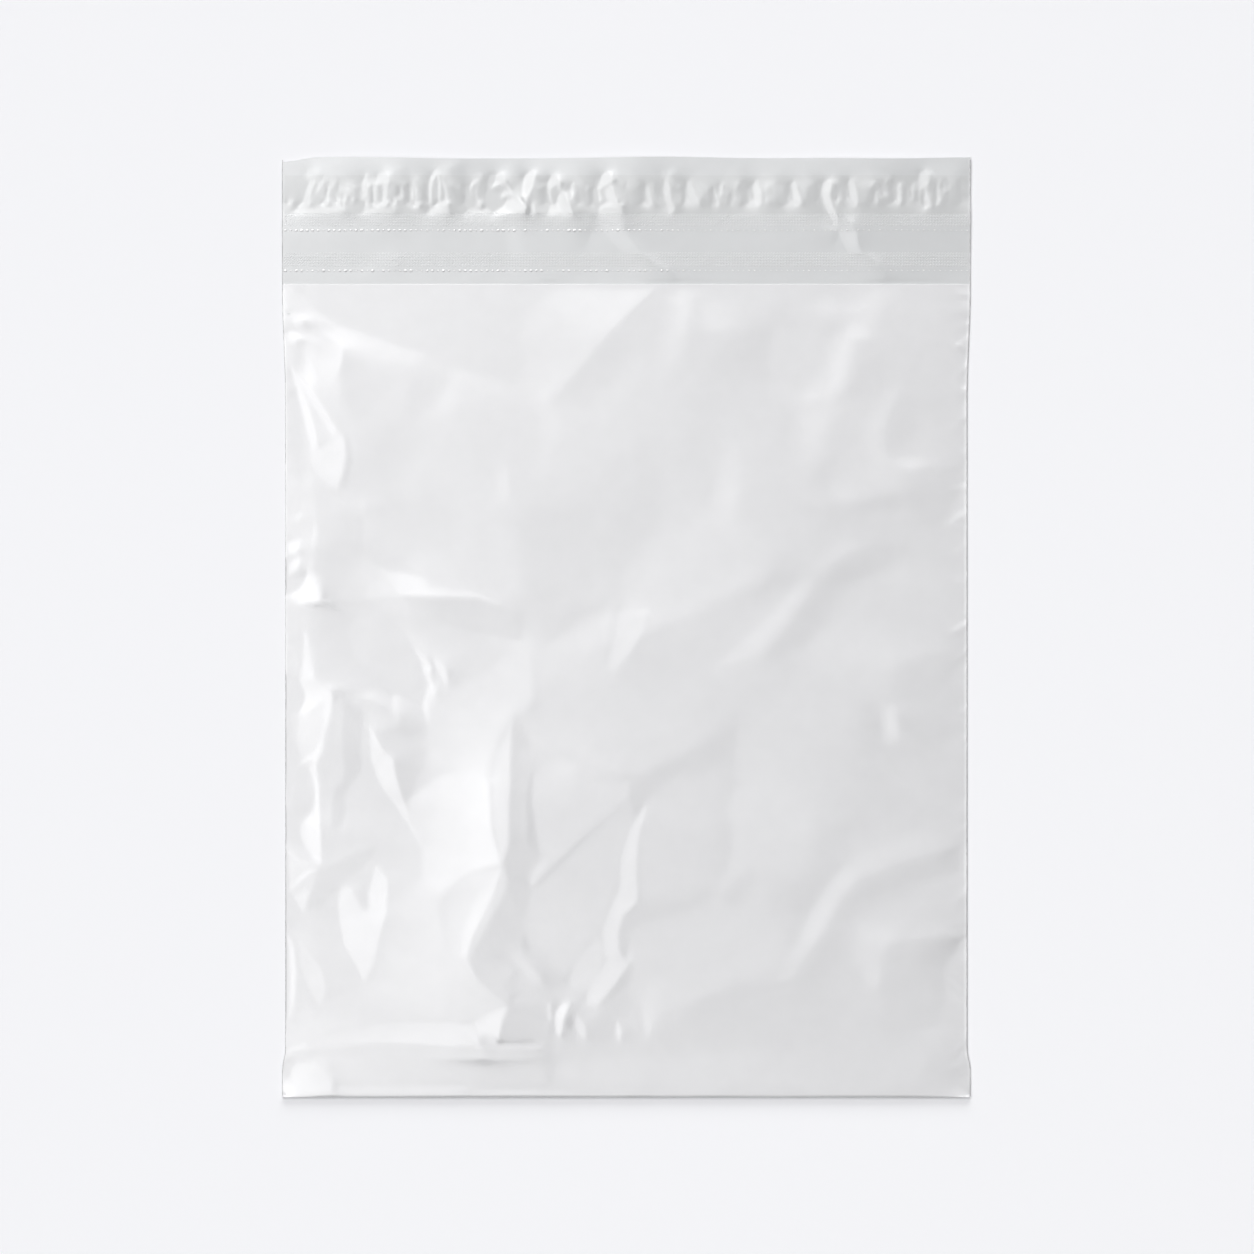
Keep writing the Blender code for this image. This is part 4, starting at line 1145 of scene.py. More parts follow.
    def at(self, x: np.ndarray, y: np.ndarray) -> np.ndarray:
        """Heights at any places.

        Args:
            x: Places across the bag.
            y: Places along the bag.

        Returns:
            The heights there.
        """
        column = np.clip((x - self.across[0]) / self.step, 0, len(self.across) - 1.001)
        row = np.clip((y - self.base) / self.step, 0, len(self.up) - 1.001)
        left, low = column.astype(int), row.astype(int)
        right, up = column - left, row - low
        lower = self.heights[low, left] * (1 - right) + self.heights[low, left + 1] * right
        upper = self.heights[low + 1, left] * (1 - right) + self.heights[low + 1, left + 1] * right
        return lower * (1 - up) + upper * up


def grid_object(name: str, points: np.ndarray) -> bpy.types.Object:
    """An object from a grid of points, with rows of faces between them.

    Args:
        name: The object's name.
        points: Rows of columns of points, as an array of (rows, columns, 3).

    Returns:
        The new object, shaded smooth.
    """
    rows, columns = points.shape[:2]
    first = (np.arange(rows - 1)[:, None] * columns + np.arange(columns - 1)[None, :]).ravel()
    faces = np.stack([first, first + 1, first + columns + 1, first + columns], axis=1)
    mesh = bpy.data.meshes.new(name)
    mesh.vertices.add(rows * columns)
    mesh.vertices.foreach_set("co", points.reshape(-1).astype(np.float32))
    mesh.loops.add(faces.size)
    mesh.loops.foreach_set("vertex_index", faces.ravel().astype(np.int32))
    mesh.polygons.add(len(faces))
    mesh.polygons.foreach_set("loop_start", (np.arange(len(faces)) * 4).astype(np.int32))
    mesh.update(calc_edges=True)
    mesh.shade_smooth()
    return placed(name, mesh)


def spread(start: float, end: float, cell: float) -> np.ndarray:
    """Even places from start to end, both included, about a cell apart."""
    return np.linspace(start, end, max(1, round(abs(end - start) / cell)) + 1)


def applied(made: bpy.types.Object) -> bpy.types.Object:
    """Turn an object with modifiers into a plain mesh.

    Args:
        made: The object.

    Returns:
        The same object, with its evaluated mesh and no modifiers.
    """
    graph = bpy.context.evaluated_depsgraph_get()
    mesh = bpy.data.meshes.new_from_object(made.evaluated_get(graph), depsgraph=graph)
    made.modifiers.clear()
    old = made.data
    made.data = mesh
    bpy.data.meshes.remove(old)
    return made


def thickened(made: bpy.types.Object, thickness: float, offset: float) -> bpy.types.Object:
    """Give a sheet its thickness, with crisp cut edges.

    Args:
        made: The sheet.
        thickness: Its thickness.
        offset: -1 to thicken it downwards, 1 upwards.

    Returns:
        The same object.
    """
    wall = made.modifiers.new("wall", "SOLIDIFY")
    wall.thickness = thickness
    wall.offset = offset
    wall.material_offset = len(made.data.materials) - 1
    applied(made)
    made.data.set_sharp_from_angle(angle=math.radians(CUT_EDGE_DEGREES))
    return made


@dataclass
class Pocket:
    """The white pocket: front panel, bottom fold and back panel, with a grey hem inside the mouth."""

    sizes: BagSizes
    relief: Relief
    fine_cell: float = 0.00064
    calm_cell: float = 0.0024
    edge_cell: float = 0.0009
    hem_cell: float = 0.002
    row_zones: tuple[tuple[float, float], ...] = ((0.185, 0.0011), (0.06, 0.0009), (0.0, 0.00078))
    back_cell: float = 0.02
    fine_until: float = 0.010
    edge_strip: float = 0.010
    sharp_edge: float = 0.00015
    hem: float = 0.012
    weld_run: float = 0.012
    least_gap: float = 0.00012
    weld_lift: float = 0.00012
    weld_lift_run: float = 0.0012
    fold_steps: int = 6
    seam_columns: int = 6
    fold_depth: float = 0.00042

    def columns(self) -> np.ndarray:
        """Choose places across the web, close together where the folds are sharp.

        Returns:
            The places, as shares of half the web's width.
        """
        half = self.sizes.width / 2
        left = spread(-half, self.fine_until, self.fine_cell)[1:-1]
        middle = spread(self.fine_until, half - self.edge_strip, self.calm_cell)[:-1]
        right = spread(half - self.edge_strip, half - self.weld_lift_run, self.edge_cell)
        seam = np.linspace(self.weld_lift_run, 0.0, self.seam_columns + 1)[1:]
        return np.concatenate([[-half, self.sharp_edge - half], left, middle, right, half - seam]) / half

    def front_rows(self, lowest: float) -> np.ndarray:
        """Choose places along the front panel, closer together towards the bottom.

        Args:
            lowest: Where they end, above the bottom fold.

        Returns:
            The places, from the mouth down.
        """
        parts = []
        high = self.sizes.pocket
        for low, cell in self.row_zones:
            low = max(low, lowest)
            parts.append(spread(high, low, cell)[: None if low == lowest else -1])
            high = low
        parts.insert(1, parts[0][1:])
        parts[0] = np.array([self.sizes.pocket, self.sizes.pocket - self.sharp_edge])
        return self.sizes.bottom + np.concatenate(parts)

    def hem_rows(self) -> np.ndarray:
        """Places along the hem inside the mouth, from its lower edge up."""
        return spread(self.sizes.mouth - self.hem, self.sizes.mouth, self.hem_cell)

    def points(self) -> np.ndarray:
        """Lay out the web, from the hem inside the mouth over the front and the fold to the back.

        Returns:
            Its points, as an array of (rows, columns, 3).
        """
        sizes = self.sizes
        shares = self.columns()
        turns = np.linspace(math.pi / 2, -math.pi / 2, self.fold_steps + 1)[1:-1]
        back_rows = spread(sizes.bottom + self.fold_depth, sizes.mouth, self.back_cell)
        strips = [
            self._row(shares, y, lambda x, line: self.front(x, line) - sizes.gauge) for y in self.hem_rows()
        ]
        strips += [self._row(shares, y, self.front) for y in self.front_rows(self.fold_depth)]
        for turn in turns:
            y = sizes.bottom + self.fold_depth * (1 - math.cos(turn))
            z = sizes.roll_height / 2 * (1 + math.sin(turn))
            strips.append(self._row(shares, y, lambda x, line, height=z: np.full_like(x, height)))
        strips += [self._row(shares, y, lambda x, line: np.zeros_like(x)) for y in back_rows]
        return np.array(strips)

    def _row(self, shares: np.ndarray, y: float, height: Callable) -> np.ndarray:
        """Lay one row of points across the web.

        Args:
            shares: Places across, as shares of half the web's width.
            y: The row's place along the bag.
            height: Gives the heights for places across and along.

        Returns:
            The row's points.
        """
        line = np.full_like(shares, y)
        x = shares * self.sizes.half_width_at(line)
        z = height(x, line)
        z[[0, -1]] = self.sizes.contact_gap / 2
        return np.stack([x, line, z], axis=1)

    def front(self, x: np.ndarray, y: np.ndarray) -> np.ndarray:
        """Height of the front panel's outer face, which sinks to the weld along the sides.

        Args:
            x: Places across the bag.
            y: Places along the bag.

        Returns:
            The heights there.
        """
        inward = self.sizes.half_width_at(y) - np.abs(x)
        gap = self.sizes.contact_gap * (0.5 + 0.5 * smooth(inward / self.weld_run))
        ridge = self.weld_lift * smooth(1 - inward / self.weld_lift_run) * (x > 0)
        return np.maximum(gap + ridge + self.relief.at(x, y), self.least_gap)

    def build(self, outside: bpy.types.Material, inside: bpy.types.Material) -> bpy.types.Object:
        """Build the pocket.

        Args:
            outside: Finish of the web's outer face.
            inside: Finish of its inner face.

        Returns:
            The pocket's object.
        """
        points = self.points()
        made = grid_object("pocket_film", points)
        made.data.materials.append(outside)
        made.data.materials.append(inside)
        slots = np.zeros(len(made.data.polygons), dtype=np.int32)
        slots[: (len(self.hem_rows()) - 1) * (points.shape[1] - 1)] = 1
        made.data.polygons.foreach_set("material_index", slots)
        return made


@dataclass
class Lip:
    """The grey lip behind the mouth, and the shape that everything on it follows."""

    sizes: BagSizes
    relief: Relief
    cell: float = 0.00048
    row_cell: float = 0.00056
    tuck: float = 0.012
    wave: float = 0.0010
    wave_length: float = 0.085
    bands: tuple[float, float] = (0.021, 0.0358)
    band_width: float = 0.0062
    band_rise: float = 0.00003
    band_ramp: float = 0.0004
    mouth_run: float = 0.002
    tuck_inset: float = 0.0012
    solid_share: float = 0.9
    edge_run: float = 0.006
    edge_back: float = 0.0005
    corner_run: float = 0.013
    corner_drop: float = 0.0016
    edge_waves: tuple[tuple[float, float, float], ...] = ((0.021, 0.8, 0.00025), (0.009, 0.0, 0.0001))

    def calm(self, x: np.ndarray, y: np.ndarray) -> np.ndarray:
        """Height of the lip without its gathers and bands.

        Args:
            x: Places across the bag.
            y: Places along the bag.

        Returns:
            The heights there.
        """
        reach = smooth((y - self.sizes.mouth) / self.sizes.lip)
        wave = 0.5 - 0.5 * np.cos(2 * math.pi * (x + self.sizes.width / 2) / self.wave_length)
        return self.sizes.gauge + self.wave * wave * reach

    def bands_at(self, y: np.ndarray) -> np.ndarray:
        """Height of the two embossed bands.

        Args:
            y: Places along the bag.

        Returns:
            The heights there.
        """
        share = np.zeros_like(y)
        for start in self.bands:
            down = self.sizes.top - y - start
            inside = np.minimum(down, self.band_width - down) / self.band_ramp
            share = np.maximum(share, np.clip(inside, 0.0, 1.0))
        return self.band_rise * share

    def gathers_at(self, x: np.ndarray, y: np.ndarray) -> np.ndarray:
        """Height of the gathers around the closing strip."""
        return self.relief.at(x, y) * smooth((y - self.sizes.mouth) / self.mouth_run)

    def top_face(self, x: np.ndarray, y: np.ndarray) -> np.ndarray:
        """Height of the lip's upper face."""
        return self.calm(x, y) + self.bands_at(y) + self.gathers_at(x, y)

    def build(self, outside: bpy.types.Material, inside: bpy.types.Material) -> bpy.types.Object:
        """Build the lip, which runs on a little way into the pocket.

        Args:
            outside: Finish of its underside.
            inside: Finish of its upper face.

        Returns:
            The lip's object.
        """
        sizes = self.sizes
        shares = spread(-sizes.width / 2, sizes.width / 2, self.cell) / (sizes.width / 2)
        rows = np.concatenate([
            spread(sizes.top, sizes.mouth, self.row_cell)[:-1],
            spread(sizes.mouth, sizes.mouth - self.tuck, 4 * self.row_cell),
        ])
        y = np.repeat(rows[:, None], len(shares), axis=1)
        x = shares[None, :] * (sizes.half_width_at(y) - np.where(y < sizes.mouth, self.tuck_inset, 0.0))
        y = y + self.edge_wander(x) * smooth((y - sizes.top + self.edge_run) / self.edge_run)
        z = self.top_face(x, y)
        made = grid_object("lip_film", np.stack([x, y, z], axis=2)[:, ::-1])
        made.data.materials.append(inside)
        made.data.materials.append(outside)
        return thickened(made, sizes.gauge * self.solid_share, -1.0)

    def edge_wander(self, x: np.ndarray) -> np.ndarray:
        """How the free edge strays from a straight line.

        Args:
            x: Places across the bag.

        Returns:
            How far it lies above the line.
        """
        corner = smooth((x + self.sizes.width / 2) / self.corner_run) - 1
        wave = sum(np.sin(x / run + start) * rise for run, start, rise in self.edge_waves)
        return corner * self.corner_drop + wave - self.edge_back


class Tree(Network):
    """A Geometry Nodes tree, with named inputs for its sizes."""

    def __init__(self, name: str) -> None:
        """Make an empty tree with a geometry input and output.

        Args:
            name: The tree's name.
        """
        super().__init__(bpy.data.node_groups.new(name, "GeometryNodeTree"))
        for way in ("INPUT", "OUTPUT"):
            self.tree.interface.new_socket("Geometry", in_out=way, socket_type="NodeSocketGeometry")
        self.start = self.node("NodeGroupInput")
        self.end = self.node("NodeGroupOutput")
        self.values: dict[str, object] = {}

    def number(self, name: str, value: float) -> bpy.types.NodeSocket:
        """Add a named float input."""
        return self._input(name, value, "NodeSocketFloat")

    def count(self, name: str, value: int) -> bpy.types.NodeSocket:
        """Add a named whole-number input."""
        return self._input(name, value, "NodeSocketInt")

    def finish_input(self, name: str, value: bpy.types.Material) -> bpy.types.NodeSocket:
        """Add a named material input."""
        return self._input(name, value, "NodeSocketMaterial")

    def _input(self, name: str, value: object, kind: str) -> bpy.types.NodeSocket:
        """Add an input and note its value.

        Args:
            name: The input's name.
            value: The value that it gets.
            kind: Its socket's type.

        Returns:
            The socket inside the tree.
        """
        socket = self.tree.interface.new_socket(name, in_out="INPUT", socket_type=kind)
        self.values[socket.identifier] = value
        return next(item for item in self.start.outputs if item.identifier == socket.identifier)

    def geometry(self) -> bpy.types.NodeSocket:
        """The geometry that comes in."""
        return self.start.outputs["Geometry"]

    def close(self, shape: bpy.types.NodeSocket, finish: bpy.types.NodeSocket) -> None:
        """End the tree with real geometry and its material.

        Args:
            shape: The geometry.
            finish: The material's socket.
        """
        real = self.node("GeometryNodeRealizeInstances", {"Geometry": shape})
        shaded = self.node("GeometryNodeSetShadeSmooth", {"Geometry": real.outputs[0]})
        dressed = self.node("GeometryNodeSetMaterial", {"Geometry": shaded.outputs[0], "Material": finish})
        self.fill(self.end, {0: dressed.outputs[0]})

    def apply(self, made: bpy.types.Object, finish: bpy.types.Material) -> bpy.types.Object:
        """Run the tree on an object and keep the result as a plain mesh.

        Args:
            made: The object whose mesh comes in.
            finish: The material of the result.

        Returns:
            The object with the result.
        """
        modifier = made.modifiers.new(self.tree.name, "NODES")
        modifier.node_group = self.tree
        for identifier, value in self.values.items():
            modifier[identifier] = value
        made.data.update()
        result = applied(made)
        if not result.data.materials:
            result.data.materials.append(finish)
        return result


def surface_patch(name: str, lip: Lip, low: float, high: float, cell: float) -> bpy.types.Object:
    """A copy of a stretch of the lip's upper face, as something to put repeats on.

    Args:
        name: Name of the object.
        lip: The lip.
        low: Y of the stretch's lower end.
        high: Y of its upper end.
        cell: Size of its faces.

    Returns:
        The object.
    """
    half = lip.sizes.width / 2
    x, y = np.meshgrid(spread(-half, half, cell), spread(low, high, cell))
    return grid_object(name, np.stack([x, y, lip.top_face(x, y)], axis=2))


@dataclass
class EmbossedBand:
    """One knurled band across the lip, which ends in a line of perforation dots."""

    lip: Lip
    number: int
    rib_pitch: float = 0.00105
    rib_length: float = 0.0016
    rib_radius: float = 0.00015
    rib_rise: float = 0.00005
    rib_degrees: float = 45.0
    dot_pitch: float = 0.0020
    dot_radius: float = 0.00042
    dot_shares: tuple[float, float] = (1.5, 0.6)
    dot_chance: tuple[float, float] = (0.5, 1.15)
    fading: tuple[float, float] = (-0.01, 0.03)
    faint_share: float = 0.55
    first_seed: int = 11
    margin: float = 0.0012
    base_cell: float = 0.001
    drop_height: float = 0.02

    @property
    def high(self) -> float:
        """Y of the band's upper edge."""
        return self.lip.sizes.top - self.lip.bands[self.number]

    @property
    def low(self) -> float:
        """Y of the band's lower edge."""
        return self.high - self.lip.band_width

    def knurl_tree(self, finish: bpy.types.Material) -> Tree:
        """Rows of short slanted ribs that lie on the film.

        Args:
            finish: Finish of the ribs, lighter than the lip as a painted sheen.

        Returns:
            The tree.
        """
        tree = Tree("knurl")
        width, middle = self.lip.band_width - self.dot_pitch, (self.high + self.low + self.dot_pitch) / 2
        places = self._places(tree, width, middle, self.rib_pitch)
        length = tree.number("Rib Length", self.rib_length)
        radius = tree.number("Rib Radius", self.rib_radius)
        rise = tree.number("Rib Rise", self.rib_rise)
        rib = tree.node("GeometryNodeMeshUVSphere", {"Segments": 6, "Rings": 4, "Radius": 1.0})
        half = tree.math("DIVIDE", length, 2.0)
        size = tree.node("ShaderNodeCombineXYZ", {"X": half, "Y": radius, "Z": rise})
        turn = tree.node("FunctionNodeEulerToRotation", {0: (0.0, 0.0, math.radians(self.rib_degrees))})
        ribs = tree.node("GeometryNodeInstanceOnPoints", {
            "Points": places, "Instance": rib.outputs[0],
            "Rotation": turn.outputs[0], "Scale": size.outputs[0],
        })
        tree.close(ribs.outputs[0], tree.finish_input("Finish", finish))
        return tree

    def dots_tree(self, finish: bpy.types.Material) -> Tree:
        """One row of small raised dots, each a little unlike the next and smaller towards the right.

        Args:
            finish: Finish of the dots, whose near-white colour is a painted glint.

        Returns:
            The tree.
        """
        tree = Tree("perforations")
        places = self._places(tree, 0.0, self.low, self.dot_pitch)
        radius = tree.number("Dot Radius", self.dot_radius)
        seed = tree.count("Seed", self.first_seed + self.number)
        dot = tree.node("GeometryNodeMeshIcoSphere", {"Radius": 1.0, "Subdivisions": 2})
        low, high = self.dot_chance
        chance = tree.node("FunctionNodeRandomValue", {2: low, 3: high, "Seed": seed}, data_type="FLOAT")
        place = tree.node("ShaderNodeSeparateXYZ", {0: tree.node("GeometryNodeInputPosition").outputs[0]})
        start, end = self.fading
        fading = tree.node("ShaderNodeMapRange", {
            0: place.outputs["X"], "From Min": start, "From Max": end,
            "To Min": 1.0, "To Max": self.faint_share,
        })
        wide = tree.math("MULTIPLY", tree.math("MULTIPLY", radius, chance.outputs[1]), fading.outputs[0])
        long, tall = (tree.math("MULTIPLY", wide, share) for share in self.dot_shares)
        size = tree.node("ShaderNodeCombineXYZ", {"X": long, "Y": wide, "Z": tall})
        dots = tree.node("GeometryNodeInstanceOnPoints", {
            "Points": places, "Instance": dot.outputs[0], "Scale": size.outputs[0],
        })
        tree.close(dots.outputs[0], tree.finish_input("Finish", finish))
        return tree

    def _places(self, tree: Tree, width: float, middle: float, pitch: float) -> bpy.types.NodeSocket:
        """Spread points over a band of the bag and drop them onto the film that comes in.

        Args:
            tree: The tree.
            width: The band's width.
            middle: Y of its middle.
            pitch: Distance between points.

        Returns:
            The points' socket.
        """
        length = self.lip.sizes.width - 2 * self.margin
        grid = tree.node("GeometryNodeMeshGrid", {
            "Size X": tree.number("Length", length),
            "Size Y": tree.number("Width", width),
            "Vertices X": tree.count("Columns", round(length / pitch)),
            "Vertices Y": tree.count("Rows", round(width / pitch) + 1),
        })
        lift = tree.node("ShaderNodeCombineXYZ", {"Y": tree.number("Middle", middle), "Z": self.drop_height})
        moved = {"Geometry": grid.outputs[0], "Offset": lift.outputs[0]}
        raised = tree.node("GeometryNodeSetPosition", moved)
        ray = tree.node("GeometryNodeRaycast", {
            "Target Geometry": tree.geometry(), "Ray Direction": (0.0, 0.0, -1.0), "Ray Length": 0.1,
        })
        landed = {"Geometry": raised.outputs[0], "Position": ray.outputs["Hit Position"]}
        return tree.node("GeometryNodeSetPosition", landed).outputs[0]

    def build(self, ribs: bpy.types.Material, dots: bpy.types.Material) -> list[bpy.types.Object]:
        """Build the band's ribs and dots.

        Args:
            ribs: Finish of the ribs, lighter than the lip as a painted sheen.
            dots: Finish of the dots, whose near-white colour is a painted glint.

        Returns:
            The two objects.
        """
        order = ("upper", "lower")[self.number]
        low, high = self.low - self.base_cell, self.high + self.base_cell
        pieces = []
        for kind, make, finish in (("knurl", self.knurl_tree, ribs), ("dots", self.dots_tree, dots)):
            base = surface_patch(f"{order}_{kind}", self.lip, low, high, self.base_cell)
            pieces.append(make(finish).apply(base, finish))
        return pieces


@dataclass
class ClosingStrip:
    """The line of adhesive and the crinkled liner over it."""

    lip: Lip
    cell: float = 0.00045
    row_cell: float = 0.0006
    end_margin: float = 0.0010
    adhesive_lift: float = 0.00001
    adhesive_thickness: float = 0.00002
    liner_gauge: float = 0.00002
    liner_lift: float = 0.00004

    def _strip(
        self, name: str, node: str, rise: float, thickness: float, finish: bpy.types.Material
    ) -> bpy.types.Object:
        """Build a thin band that follows the lip, as wide as one CAD node.

        Args:
            name: The piece's name.
            node: The CAD node.
            rise: How far the band lies over the lip.
            thickness: Its thickness.
            finish: Its finish.

        Returns:
            The band's object.
        """
        low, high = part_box(node)
        half = self.lip.sizes.width / 2 - self.end_margin
        x, y = np.meshgrid(spread(half, -half, self.cell), spread(low[1], high[1], self.row_cell))
        z = self.lip.calm(x, y) + self.lip.gathers_at(x, y) + rise
        made = grid_object(name, np.stack([x, y, z], axis=2)[:, ::-1])
        made.data.materials.append(finish)
        return thickened(made, thickness, 1.0)

    def build_adhesive(self, finish: bpy.types.Material) -> bpy.types.Object:
        """Build the adhesive line."""
        rise, thickness = self.adhesive_lift, self.adhesive_thickness
        return self._strip("adhesive_line", "adhesive_strip", rise, thickness, finish)

    def build_liner(self, finish: bpy.types.Material) -> bpy.types.Object:
        """Build the liner."""
        return self._strip("liner_film", "release_liner", self.liner_lift, self.liner_gauge, finish)


@dataclass
class SideWeld:
    """The cut-and-sealed bead along one side, with its small scallops."""

    sizes: BagSizes
    lip: Lip
    side: Side
    radii: tuple[float, float] = (0.00014, 0.00025)
    inset: float = 0.0001
    scallop_pitch: float = 0.0024
    scallop_share: float = 0.25
    noise_scale: float = 260.0
    cell: float = 0.0008
    step: float = 0.002
    ends: tuple[float, float] = (0.0003, 0.0012)

    def path(self) -> np.ndarray:
        """Lay out the weld's line.

        Returns:
            Points from the bottom fold to the lip's edge.
        """
        y = spread(self.sizes.bottom + self.ends[0], self.sizes.top - self.ends[1], self.step)
        x = self.side.value * (self.sizes.half_width_at(y) - self.inset)
        z = np.where(y > self.sizes.mouth, self.lip.top_face(x, y), self.sizes.contact_gap / 2)
        return np.stack([x, y, z], axis=1)

    def tree(self, finish: bpy.types.Material) -> Tree:
        """A round bead of uneven thickness that follows the line that comes in.

        Args:
            finish: The bead's finish.

        Returns:
            The tree.
        """
        tree = Tree("weld_bead")
        radius = tree.number("Radius", self.radii[self.side is Side.RIGHT])
        pitch = tree.number("Scallop Pitch", self.scallop_pitch)
        line = tree.node("GeometryNodeMeshToCurve", {"Mesh": tree.geometry()})
        even = tree.node(
            "GeometryNodeResampleCurve", {"Curve": line.outputs[0], "Length": self.cell}, mode="LENGTH"
        )
        along = tree.node("GeometryNodeInputPosition").outputs[0]
        split = tree.node("ShaderNodeSeparateXYZ", {0: along})
        turn = tree.math("MULTIPLY", tree.math("DIVIDE", split.outputs["Y"], pitch), 2 * math.pi)
        noise = tree.node("ShaderNodeTexNoise", {"Vector": along, "Scale": self.noise_scale})
        scallop = tree.math("MULTIPLY", tree.math("SINE", turn), self.scallop_share)
        size = tree.math("ADD", tree.math("ADD", scallop, noise.outputs[0]), 0.5)
        sized = tree.node("GeometryNodeSetCurveRadius", {"Curve": even.outputs[0], "Radius": size})
        round_profile = {"Resolution": 8, "Radius": radius}
        ring = tree.node("GeometryNodeCurvePrimitiveCircle", round_profile, mode="RADIUS")
        bead = tree.node("GeometryNodeCurveToMesh", {
            "Curve": sized.outputs[0], "Profile Curve": ring.outputs[0], "Fill Caps": True,
        })
        tree.close(bead.outputs[0], tree.finish_input("Finish", finish))
        return tree

    def build(self, finish: bpy.types.Material) -> bpy.types.Object:
        """Build the bead.

        Args:
            finish: Its finish.

        Returns:
            The bead's object.
        """
        points = self.path()
        mesh = bpy.data.meshes.new("line")
        mesh.from_pydata(points.tolist(), [(index, index + 1) for index in range(len(points) - 1)], [])
        return self.tree(finish).apply(placed(f"{self.side.name.lower()}_weld", mesh), finish)


@dataclass(frozen=True)
class SoftBox:
    """A rectangular lamp that looks at the bag's middle."""

    name: str
    bearing: float
    from_vertical: float
    distance: float
    width: float
    height: float
    radiance: float

    def build(self) -> bpy.types.Object:
        """Place the lamp.

        Returns:
            The lamp's object.
        """
        data = bpy.data.lights.new(self.name, "AREA")
        data.shape = "RECTANGLE"
        data.size = self.width
        data.size_y = self.height
        data.energy = self.radiance * math.pi * self.width * self.height
        made = placed(self.name, data)
        tilt, turn = math.radians(self.from_vertical), math.radians(self.bearing)
        away = Vector((math.sin(tilt) * math.cos(turn), math.sin(tilt) * math.sin(turn), math.cos(tilt)))
        made.location = away * self.distance
        made.rotation_euler = (0.0, tilt, turn)
        made.visible_camera = False
        return made


@dataclass(frozen=True)
class LightBank:
    """A big softbox made of strips that grow brighter away from the camera."""

    name: str
    bearing: float
    strips: tuple[tuple[float, float, float], ...]
    distance: float = 3.0
    breadth: float = 3.6

    def build(self) -> None:
        """Place the strips side by side."""
        for number, (start, end, radiance) in enumerate(self.strips):
            width = 2 * self.distance * math.tan(math.radians(end - start) / 2)
            middle = (start + end) / 2
            name = f"{self.name}_{number}"
            SoftBox(name, self.bearing, middle, self.distance, width, self.breadth, radiance).build()


SIDE_BANK = LightBank("side_bank", UPPER_LEFT, (
    (-6.0, 0.0, 0.52),
    (0.0, 5.0, 0.9),
    (5.0, 10.0, 1.28),
    (10.0, 15.0, 1.8),
    (15.0, 21.0, 2.55),
    (21.0, 28.0, 3.3),
    (28.0, 36.0, 3.3),
    (36.0, 45.0, 2.7),
))
BOTTOM_BANK = LightBank("bottom_bank", 270.0, (
    (10.0, 20.0, 0.5),
    (20.0, 32.0, 0.8),
), breadth=2.0)
TOP_BANK = LightBank("top_bank", 90.0, (
    (12.0, 18.0, 0.7),
    (18.0, 26.0, 1.6),
    (26.0, 36.0, 2.2),
), breadth=2.0)


